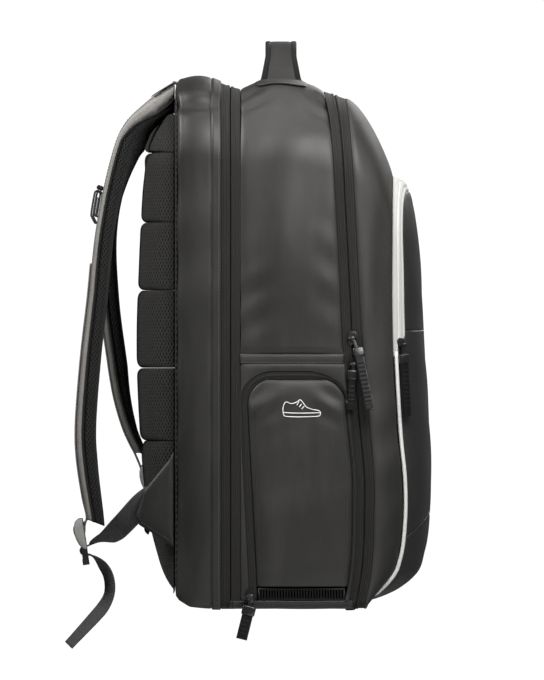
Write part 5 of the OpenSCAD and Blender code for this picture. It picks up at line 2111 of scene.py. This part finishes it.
@dataclass
class ShoeDoor:
    """Shoe compartment on the left side: surround, arched zip, door flap, vent strip and tunnel."""

    wear: Wardrobe
    line: Outline
    low: float = 23.0
    top: float = 230.0
    radius: float = 26.0
    tape: float = 7.0
    rear_low: float = 24.6
    rear_top: float = 34.0
    foot_z: float = 8.0
    seam_z: float = 246.0
    divider_y: float = 41.0
    rim: float = 0.9
    front_gap: float = 11.2
    ray_centre: tuple[float, float] = (-16.0, 150.0)
    rays_from: float = 190.0
    sign_place: tuple[float, float] = (-20.5, 195.0)
    tunnel_centre: tuple[float, float] = (-15.0, 125.0)
    folds: Sequence[Fold] = (
        Fold((-160, 18, 205), (20, 18, 22), 1.3, (0, 0.55, 1), 26.0),
        Fold((-160, -50, 208), (20, 16, 20), 1.2, (0, -0.6, 1), 24.0),
        Fold((-160, -16, 110), (20, 40, 80), 0.9, (0, 0.25, 1), 70.0),
        Fold((-160, 20, 196), (20, 14, 14), 1.2))
    body: str = Body.MAIN.value

    @property
    def shoulder(self) -> float:
        """Height where the door's round top corners start."""
        return self.top - self.radius

    def front_edge(self, z: Points) -> Points:
        """Front edge of the door, beside the main zip."""
        return self.line.zip_depth(z) + self.front_gap

    def rear_edge(self, z: Points) -> Points:
        """Rear edge of the door, which leans towards the racket zip."""
        return self.rear_low + (self.rear_top - self.rear_low) * ramp(z, self.low, self.shoulder)

    def outline(self) -> Points:
        """Door outline as y and z from the rear foot over the top to the front foot.

        Returns:
            Points as y and z.
        """
        z = np.linspace(self.foot_z, self.shoulder, 49)[:-1]
        rear = float(self.rear_edge(self.shoulder)) - self.radius
        front = float(self.front_edge(self.shoulder)) + self.radius
        return np.concatenate([
            points_of(self.rear_edge(z), z),
            arc((rear, self.shoulder), self.radius, 0, 90, 20),
            points_of(np.linspace(rear, front, 22)[1:-1], self.top),
            arc((front, self.shoulder), self.radius, 90, 180, 20),
            points_of(self.front_edge(z), z)[::-1]])

    def grown(self, growth: float) -> Points:
        """Outline moved outwards: fully at the rear and top, little beside the main zip.

        Args:
            growth: Distance outwards.

        Returns:
            Points as y and z.
        """
        ring = self.outline()
        forward = heading(ring)
        out = points_of(forward[:, 1], -forward[:, 0])
        weight = np.interp(ring[:, 0], (-70, -48, -30), (0.12, 0.35, 1.0))
        return ring + out * (growth * weight)[:, None]

    def on_side(self, flat: Points, height: Points) -> Points:
        """Points of y and z stood on the bag's left side, at a height outwards."""
        return points_of(-self.line.half_width - height, flat[..., 0], flat[..., 1])

    def surround(self) -> None:
        """Cloth round the door: the zip's outer edge lofted to the straight edges of the side panel.

        Below the top corners each point goes straight across to the panel's edge. Above them it goes outwards
        along a ray from the door's middle, as far as the first edge that the ray meets.
        """
        inner = self.grown(self.tape + 0.4)
        inner[:, 0] = np.minimum(inner[:, 0], self.divider_y - 1.4)
        z = np.clip(inner[:, 1], self.foot_z, None)
        centre = np.array(self.ray_centre)
        ray = inner - centre
        rear = ray[:, 0] > 0
        side = np.where(rear, self.divider_y - 0.4, self.line.zip_depth(z) + 9.9)
        tiny = 1e-6
        reach_y = (side - centre[0]) / np.where(np.abs(ray[:, 0]) < tiny, tiny, ray[:, 0])
        reach_z = (self.seam_z - centre[1]) / np.where(ray[:, 1] <= tiny, tiny, ray[:, 1])
        upper = (inner[:, 1] > self.rays_from)[:, None]
        met = centre + ray * np.minimum(reach_y, reach_z)[:, None]
        outer = np.where(upper, met, points_of(side, z))
        f = edge_spaced(14, 0.5)[:, None, None]
        flat = inner * (1 - f) + outer * f
        t = f[..., 0]
        full = np.where(rear, np.interp(inner[:, 1], (200, 225), (0.15, 0.9)), 0.9)
        height = full * np.sin(np.pi * t) ** 0.6 - 0.6 * np.exp(-t * 14) - 0.9 * np.exp(-(1 - t) * 14)
        piece = cloth_grid("shoe_surround_cloth", self.on_side(flat, height)[::-1], self.body, self.wear.body,
                           self.wear.lining, thick=1.6)
        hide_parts("shoe_surround")

    def arch_zip(self) -> None:
        """Arched zip round the door: tape with a coil cord, a bell with a narrower bell cut out of it."""
        f = edge_spaced(16, 0.2)
        rings = np.stack([self.grown((self.tape + 0.9) * share - 0.4) for share in f])
        coil = bell(f, 0.5, 0.17) - 0.45 * bell(f, 0.5, 0.05)
        grid = self.on_side(rings, (coil - 0.9)[:, None])
        piece = cloth_grid("shoe_zip_cloth", grid[::-1], self.body, self.wear.tape, thick=1.0)
        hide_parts("shoe_zip_tape")

    def flap(self) -> None:
        """Door flap: a shallow pillow with a turned-in rim, drawn down from its top corners.

        Each row runs from the rear edge to the front edge at its height, so the rows shorten round the top
        corners. The pillow's height is one less an exponential of the distance from the sides, times one less
        an exponential of the distance from the top.
        """
        bend = np.sin(np.linspace(0, np.pi / 2, 22))[1:] * (self.radius - self.rim)
        z = np.concatenate([np.linspace(self.low - 0.7, self.shoulder, 90), self.shoulder + bend])[:, None]
        corner = self.radius ** 2 - np.clip(z - self.shoulder, 0, None) ** 2
        round_in = self.radius - np.sqrt(np.clip(corner, 0, None)) + self.rim
        rear = self.rear_edge(z) - round_in
        front = self.front_edge(np.minimum(z, self.shoulder)) + round_in
        y = rear + (front - rear) * edge_spaced(56, 0.6)
        inner_y = np.minimum(rear - y, y - front)
        inner_z = self.top - self.rim - z
        away = np.minimum(inner_y, inner_z)
        crown = (1 - np.exp(-inner_y / 7.0)) * (1 - np.exp(-inner_z / 7.0))
        full = 0.35 + 0.65 * ramp(z, self.low, self.low + 14.0)
        grid = self.on_side(points_of(y, z), 3.2 * crown * full - self.rim * np.exp(-away / 1.2))
        grid[..., 0] -= folds_on(grid, self.folds) * ramp(away, 0.0, 4.0)
        piece = cloth_grid("shoe_flap_cloth", grid[:, ::-1], Body.SHOE.value, self.wear.body,
                           self.wear.lining, thick=1.6)
        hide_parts("shoe_flap")
        sewn = np.concatenate([grid[4:-4, 5], grid[-4, 5:-5], grid[-4:4:-1, -6]]) - (0.15, 0.0, 0.0)
        stitches("shoe_flap_stitch", sewn, TO_LEFT, Body.SHOE.value, self.wear.thread)
        self.shoe_sign()

    def shoe_sign(self) -> None:
        """Plain line sign of a low shoe, sewn in white: sole, upper, collar and three lace bars."""
        sole = ((18, 0), (16, -2.2), (4, -3), (-10, -2.6), (-17.5, -2), (-19, 0.6), (-18.6, 2.4))
        upper = ((18, 0), (18.6, 4), (17.6, 9.5), (15, 12), (10.5, 10.4), (5.5, 11.6), (1.5, 14), (-1, 12),
                 (-5, 7), (-11, 4.6), (-16.6, 3.6), (-18.6, 2.4))
        welt = ((18.2, 1.6), (8, 0.9), (-6, 0.9), (-18.8, 1.2))
        laces = [((2.6 - 2.6 * k, 12.4 - 2.3 * k), (4.6 - 2.4 * k, 8.8 - 1.9 * k)) for k in range(3)]
        for number, line in enumerate((sole, upper, welt, *laces), 1):
            route = self.on_side(smooth_route(np.add(line, self.sign_place), 8), 3.2)
            tube_piece(f"shoe_sign_{number}", route, np.array(TO_LEFT), round_profile(0.42, 6),
                       Body.SHOE.value, self.wear.print_white)

    def vent(self) -> None:
        """Slotted vent strip below the door."""
        rounded_copy("vent_strip", "vent_grille", self.body, self.wear.rubber, 0.3, 1)

    def tunnel(self) -> None:
        """Lining tunnel that holds a pair of shoes, soft at its corners and closed at its far end.

        It is a superellipse carried along x, whose last rings shrink to a point.
        """
        a = np.linspace(0, 2 * np.pi, 72, endpoint=False)
        wall_steps, end_steps = 40, 8
        mouth_x, wall_x, end_x = -157.0, 78.0, 80.0
        half_y, half_z = 42.0, 102.0
        x = np.concatenate([np.linspace(mouth_x, wall_x, wall_steps), np.full(end_steps, end_x)])[:, None]
        shrink = np.concatenate([np.ones(wall_steps), np.linspace(0.97, 0.0, end_steps)])[:, None]
        y = half_y * signed_power(np.cos(a), 2 / 7) * shrink
        z = half_z * signed_power(np.sin(a), 2 / 9) * shrink
        wave = 0.48 * np.sin(x / 11.0) * np.sin(3 * a)
        grid = points_of(x, self.tunnel_centre[0] + y, self.tunnel_centre[1] + z + wave)
        piece = cloth_grid("shoe_tunnel_lining", grid, self.body, self.wear.lining, closed=True)
        weld(piece.data)
        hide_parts("shoe_tunnel")

    def build(self) -> None:
        """Builds the door's pieces in order."""
        self.surround()
        self.arch_zip()
        self.flap()
        self.vent()
        self.tunnel()


@dataclass
class CarryHandle:
    """Carry handle: padded band, edge bindings and the patches under its feet."""

    wear: Wardrobe
    line: Outline
    crown: float = 528.0
    grip: float = 567.0
    half_foot: float = 24.0
    half_grip: float = 15.5
    thick: float = 4.0
    patch_half: float = 25.5
    foot_column: int = 96
    body: str = Body.MAIN.value

    def build(self) -> None:
        """Builds the band, its two bindings and both patches.

        The band is a superellipse carried along a smooth arch. It is plumpest in the middle, by one less the
        fourth power of the place along it, and widens towards its feet.
        """
        half_route = np.array([[-68, self.crown - 2], [-66, self.crown + 1.5], [-61, 546], [-40, 564.5],
                               [0, self.grip]])
        route = smooth_route(mirrored(half_route), 8)
        places = points_of(route[:, 0], 0.0, route[:, 1])
        t = np.linspace(-1, 1, len(route))
        half = self.half_grip + (self.half_foot - self.half_grip) * ramp(np.abs(t), 0.4, 1.0)
        up = upright(places, (0.0, -1.0, 0.0))
        plump = self.thick * (0.75 + 0.35 * (1 - t ** 4))
        profile = np.stack([slab_profile(h - 4.2, p, 24, 4.0) for h, p in zip(half, plump)])
        band = tube_piece("handle_band_cloth", places, up, profile, self.body, self.wear.handle)
        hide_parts("handle_band")
        edge_profile = slab_profile(2.9, self.thick + 1.2, 16, 3.0)
        for word, sign in (("front", -1), ("rear", 1)):
            edge = places + points_of(0.0, sign * (half - 2.7), 0.0)
            piece = tube_piece(f"handle_edge_{word}", edge, up, edge_profile, self.body, self.wear.binding)
            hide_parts(f"handle_binding_{word}")
            inner = places + points_of(0.0, sign * (half - 6.6), 0.0) + up * (self.thick * 0.52)
            stitches(f"handle_stitch_{word}", inner[6:-6], up[6:-6], self.body, self.wear.thread)
        for side in Side:
            self.patch(side)

    def patch(self, side: Side) -> None:
        """Patch under one foot: cloth sewn flat over the gusset's top corner, its lower lip standing proud.

        Its points are read off the gusset's own surface, between the grid's rows and columns.

        Args:
            side: Side of the foot.
        """
        surface = MainCompartment(self.wear, self.line).gusset_surface()
        depth = surface[:, self.foot_column, 1]
        reach = np.linspace(self.patch_half, -self.patch_half, 31)
        rows = np.interp(-reach, -depth, np.arange(len(depth)))
        corner, count = self.line.side_steps, 24
        lift = 1.4 * ((rows - rows.mean()) / (rows[-1] - rows.mean())) ** 6
        cols = np.linspace(corner + 19.4, corner + 28.0, count) + lift[:, None] * np.linspace(1, 0, count)
        i, j = np.floor(rows).astype(int)[:, None], np.floor(cols).astype(int)
        s, t = (rows[:, None] - i)[..., None], (cols - j)[..., None]
        grid = ((surface[i, j] * (1 - t) + surface[i, j + 1] * t) * (1 - s)
                + (surface[i + 1, j] * (1 - t) + surface[i + 1, j + 1] * t) * s)
        lip = 0.7 + 1.5 * np.exp(-np.arange(count) / 2.5)
        rim = ramp(np.abs(reach), self.patch_half, self.patch_half - 5.0)[:, None] ** 0.5
        grid = pushed(grid, lip * rim + 0.3)
        if side is Side.RIGHT:
            grid = (grid * (-1, 1, 1))[::-1]
        piece = cloth_grid(f"handle_patch_{side.word}", grid, self.body, self.wear.body, thick=0.9)
        if side is Side.LEFT:
            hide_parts("handle_patch")


@dataclass(frozen=True)
class PullForm:
    """Where a slider sits on its zip and how its pull hangs."""

    name: str
    place: tuple[float, float, float]
    turn: float
    lean: float
    link: float
    link_tilt: float
    tab: float
    tab_w: float
    tab_tilt: float
    rest: float = 0.0
    bail_z: float = 4.5

    def stood(self, local: Points) -> Points:
        """Points across, along and out of the tab, stood in the bag's frame.

        Args:
            local: Points in the tab's own axes.

        Returns:
            Points in millimetres from the base.
        """
        def spin(angle: float, axis: str) -> Matrix:
            """Rotation by degrees."""
            return Matrix.Rotation(math.radians(angle), 4, axis)

        zip_at = Matrix.Translation(self.place) @ spin(self.turn, "Z") @ spin(90.0, "X")
        slider_at = zip_at @ spin(self.lean, "Z")
        bail_at = slider_at @ Matrix.Translation((0.0, 0.0, self.bail_z)) @ spin(-self.rest, "X")
        link_at = bail_at @ spin(self.link_tilt, "Z") @ Matrix.Translation((0.0, -self.link, 0.0))
        grid = np.array(link_at @ spin(self.tab_tilt - self.link_tilt, "Z"))
        return local @ grid[:3, :3].T + grid[:3, 3]


@dataclass
class Hardware:
    """Zip sliders and their pulls."""

    wear: Wardrobe
    pulls: Sequence[PullForm] = (
        PullForm("main_pull_upper", (-160, -71.13, 271), -90, 2.918, 15, 22, 61, 8, 8, 13),
        PullForm("main_pull_lower", (-160, -72.87, 245), -90, 5.528, 10, -14, 36, 6.5, -8),
        PullForm("shoe_pull", (-160, 30.5, 13), -90, 2.973, 14, -10, 30, 10.5, -17),
        PullForm("pocket_pull", (-139, -119.2, 264), -42.2, 0, 13, 0, 58, 9, 0, 4),
        PullForm("racket_pull", (160, 50.5, 56), 90, 0, 13, 0, 40, 10.5, 0))

    def build(self) -> None:
        """Gives each slider and pull its moulded form."""
        for form in self.pulls:
            slider = form.name.replace("pull", "slider")
            rounded_copy(f"{slider}_cast", slider, slider, self.wear.plastic, 0.5, 3)
            rounded_copy(f"{form.name}_link", form.name, form.name, self.wear.plastic, 0.8, 3)
            self.tab(form)
            self.clamp(form)

    def tab(self, form: PullForm) -> None:
        """Soft tab: a flat bar with a raised rim, and a row of cross ribs between the rims.

        Its height is a flat, a bell at each rim and clipped sines for the ribs, times a rounded edge.

        Args:
            form: Pull that it belongs to.
        """
        a = across_places(25)[:, None]
        y = np.linspace(-form.tab - 0.3, 1.0, 110)
        end = np.minimum(y - y[0], y[-1] - y)
        edge = np.sqrt(np.clip(1 - np.abs(a) ** 10, 0, 1) * ramp(end, 0.0, 0.8))
        rib_pitch = 4.4
        flat, rim, rib = 1.65, 0.35, 0.28
        ribbed = (y < -11.0) & (y > y[0] + 6.0) & (np.abs(a) < 0.72)
        ribs = np.clip(np.sin((y - y[0]) * 2 * np.pi / rib_pitch), 0, 1) ** 0.7 * ribbed
        height = (flat + rim * bell(np.abs(a), 1.0, 0.16) + rib * ribs) * edge
        top = points_of(a * (form.tab_w / 2 + 0.3), y, height)
        piece = closed_form(f"{form.name}_tab", form.stood(top), form.stood(top * (1, 1, -1)), form.name,
                            self.wear.rubber)

    def clamp(self, form: PullForm) -> None:
        """Clamp that holds the tab to its link: a superellipse that shrinks towards both ends.

        Args:
            form: Pull that it belongs to.
        """
        share = np.array([0.8, 0.95, 1.0, 1.0, 1.0, 0.95, 0.8])
        y = np.array([3.6, 3.2, 2.2, -1.0, -4.2, -5.2, -5.6])
        up = np.subtract(*form.stood(np.array([[0.0, 0.0, 1.0], [0.0, 0.0, 0.0]])))
        profile = np.stack([slab_profile((form.tab_w / 2 + 1.5) * s, 5.2 * s, 20, 5.0) for s in share])
        piece = tube_piece(f"{form.name}_clamp", form.stood(points_of(0.0, y, 0.0)), up, profile, form.name,
                           self.wear.plastic)


@dataclass
class Studio:
    """Floor, soft lights and the camera at the photograph's viewing angle."""

    floor_z: float = -330.0
    near_x: float = -160.0
    distance: float = 25.0
    frame_high: float = 0.680
    centre: tuple[float, float] = (9.0, 269.0)
    floor_half: float = 9000.0
    sensor: float = 36.0
    glow: Colour = (1.0, 0.985, 0.965)

    def build(self) -> None:
        """Builds the floor, the lights and the camera."""
        self.floor()
        self.sky()
        self.light("key", (-0.74, -0.26, 0.26), (-0.16, 0.0, -0.12), 0.46, 11.2)
        self.light("top_soft", (-0.2, -0.1, 0.8), (-0.1, -0.02, -0.1), 0.5, 3.6)
        self.light("rear_rim", (-0.4, 0.85, 0.5), (-0.05, 0.15, -0.2), 0.5, 18.0)
        self.light("front_rim", (-0.3, -1.0, 0.3), (-0.1, -0.1, -0.25), 0.6, 3.5)
        self.light("far_fill", (1.1, -0.5, 0.5), (0.12, -0.02, -0.2), 0.8, 7.0)
        self.light("low_fill", (-0.8, -0.2, -0.95), (-0.15, -0.03, -0.56), 0.5, 2.4)
        self.camera()

    def floor(self) -> None:
        """Pale floor below the straps, also where the opened racket shell lets them hang."""
        corners = np.array([[-1, -1, 0], [1, -1, 0], [1, 1, 0], [-1, 1, 0]]) * self.floor_half
        mesh = mesh_from("studio_floor", corners + (0.0, 0.0, self.floor_z), [np.array([[0, 1, 2, 3]])])
        floor = bpy.data.objects.new("studio_floor", mesh)
        bpy.context.scene.collection.objects.link(floor)
        pale = bpy.data.materials.new("studio_floor")
        pale.use_nodes = True
        g = Graph(pale.node_tree)
        away = g.add("ShaderNodeVectorMath", operation="LENGTH")
        g.feed(away.inputs[0], g.add("ShaderNodeTexCoord").outputs["Object"])
        seen = g.add("ShaderNodeLightPath").outputs["Is Camera Ray"]
        g.fill(pale.node_tree.nodes["Principled BSDF"], {
            "Base Color": (0.95, 0.95, 0.95, 1.0),
            "Roughness": 0.9,
            "Alpha": g.spread(away.outputs["Value"], 0.62, 1.3, 1.0, 0.0),
            "Emission Color": (1.0, 1.0, 1.0, 1.0),
            "Emission Strength": g.calc("MULTIPLY", seen, 0.92)})
        mesh.materials.append(pale)

    @staticmethod
    def sky() -> None:
        """White surround: bright to the camera, softer as light."""
        world = bpy.data.worlds.new("studio")
        bpy.context.scene.world = world
        world.use_nodes = True
        g = Graph(world.node_tree)
        seen = g.add("ShaderNodeLightPath").outputs["Is Camera Ray"]
        g.fill(world.node_tree.nodes["Background"], {
            "Color": (1.0, 1.0, 1.0, 1.0),
            "Strength": g.calc("MULTIPLY_ADD", seen, 0.99, 0.06)})

    def light(self, name: str, place: Sequence[float], goal: Sequence[float], size: float,
              power: float) -> None:
        """Square soft light aimed at a goal.

        Args:
            name: Name of the light.
            place: Where it stands, in metres.
            goal: Where it points, in metres.
            size: Width of the square in metres.
            power: Power in watts.
        """
        data = bpy.data.lights.new(name, "AREA")
        data.shape = "SQUARE"
        data.size = size
        data.energy = power
        data.color = self.glow
        lamp = bpy.data.objects.new(name, data)
        bpy.context.scene.collection.objects.link(lamp)
        lamp.location = place
        lamp.rotation_euler = (Vector(goal) - Vector(place)).to_track_quat("-Z", "Y").to_euler()

    def camera(self) -> None:
        """Level camera at the left side: a pixel of 544 by 680 is a millimetre on the near side."""
        data = bpy.data.cameras.new("camera")
        camera = bpy.data.objects.new("camera", data)
        bpy.context.scene.collection.objects.link(camera)
        data.sensor_width = self.sensor
        data.lens = self.sensor * self.distance / self.frame_high
        data.clip_end = 100.0
        y, z = self.centre
        camera.location = (self.near_x * MM - self.distance, y * MM, (z - GRIP_Z) * MM)
        camera.rotation_euler = (math.pi / 2, 0.0, -math.pi / 2)
        bpy.context.scene.camera = camera
        bpy.context.scene.view_settings.view_transform = "Standard"


def main() -> None:
    """Builds the studio, then every part of the bag in order."""
    logging.basicConfig(level=logging.INFO, format="%(name)s: %(message)s")
    Studio().build()
    wear = Wardrobe()
    line = Outline()
    parts = (MainCompartment(wear, line), RacketCompartment(wear, line), left_strap(wear), right_strap(wear),
             FrontShell(wear, line), ShoeDoor(wear, line), CarryHandle(wear, line), Hardware(wear))
    for part in parts:
        log.info("building %s", type(part).__name__)
        part.build()


if __name__ == "__main__":
    main()
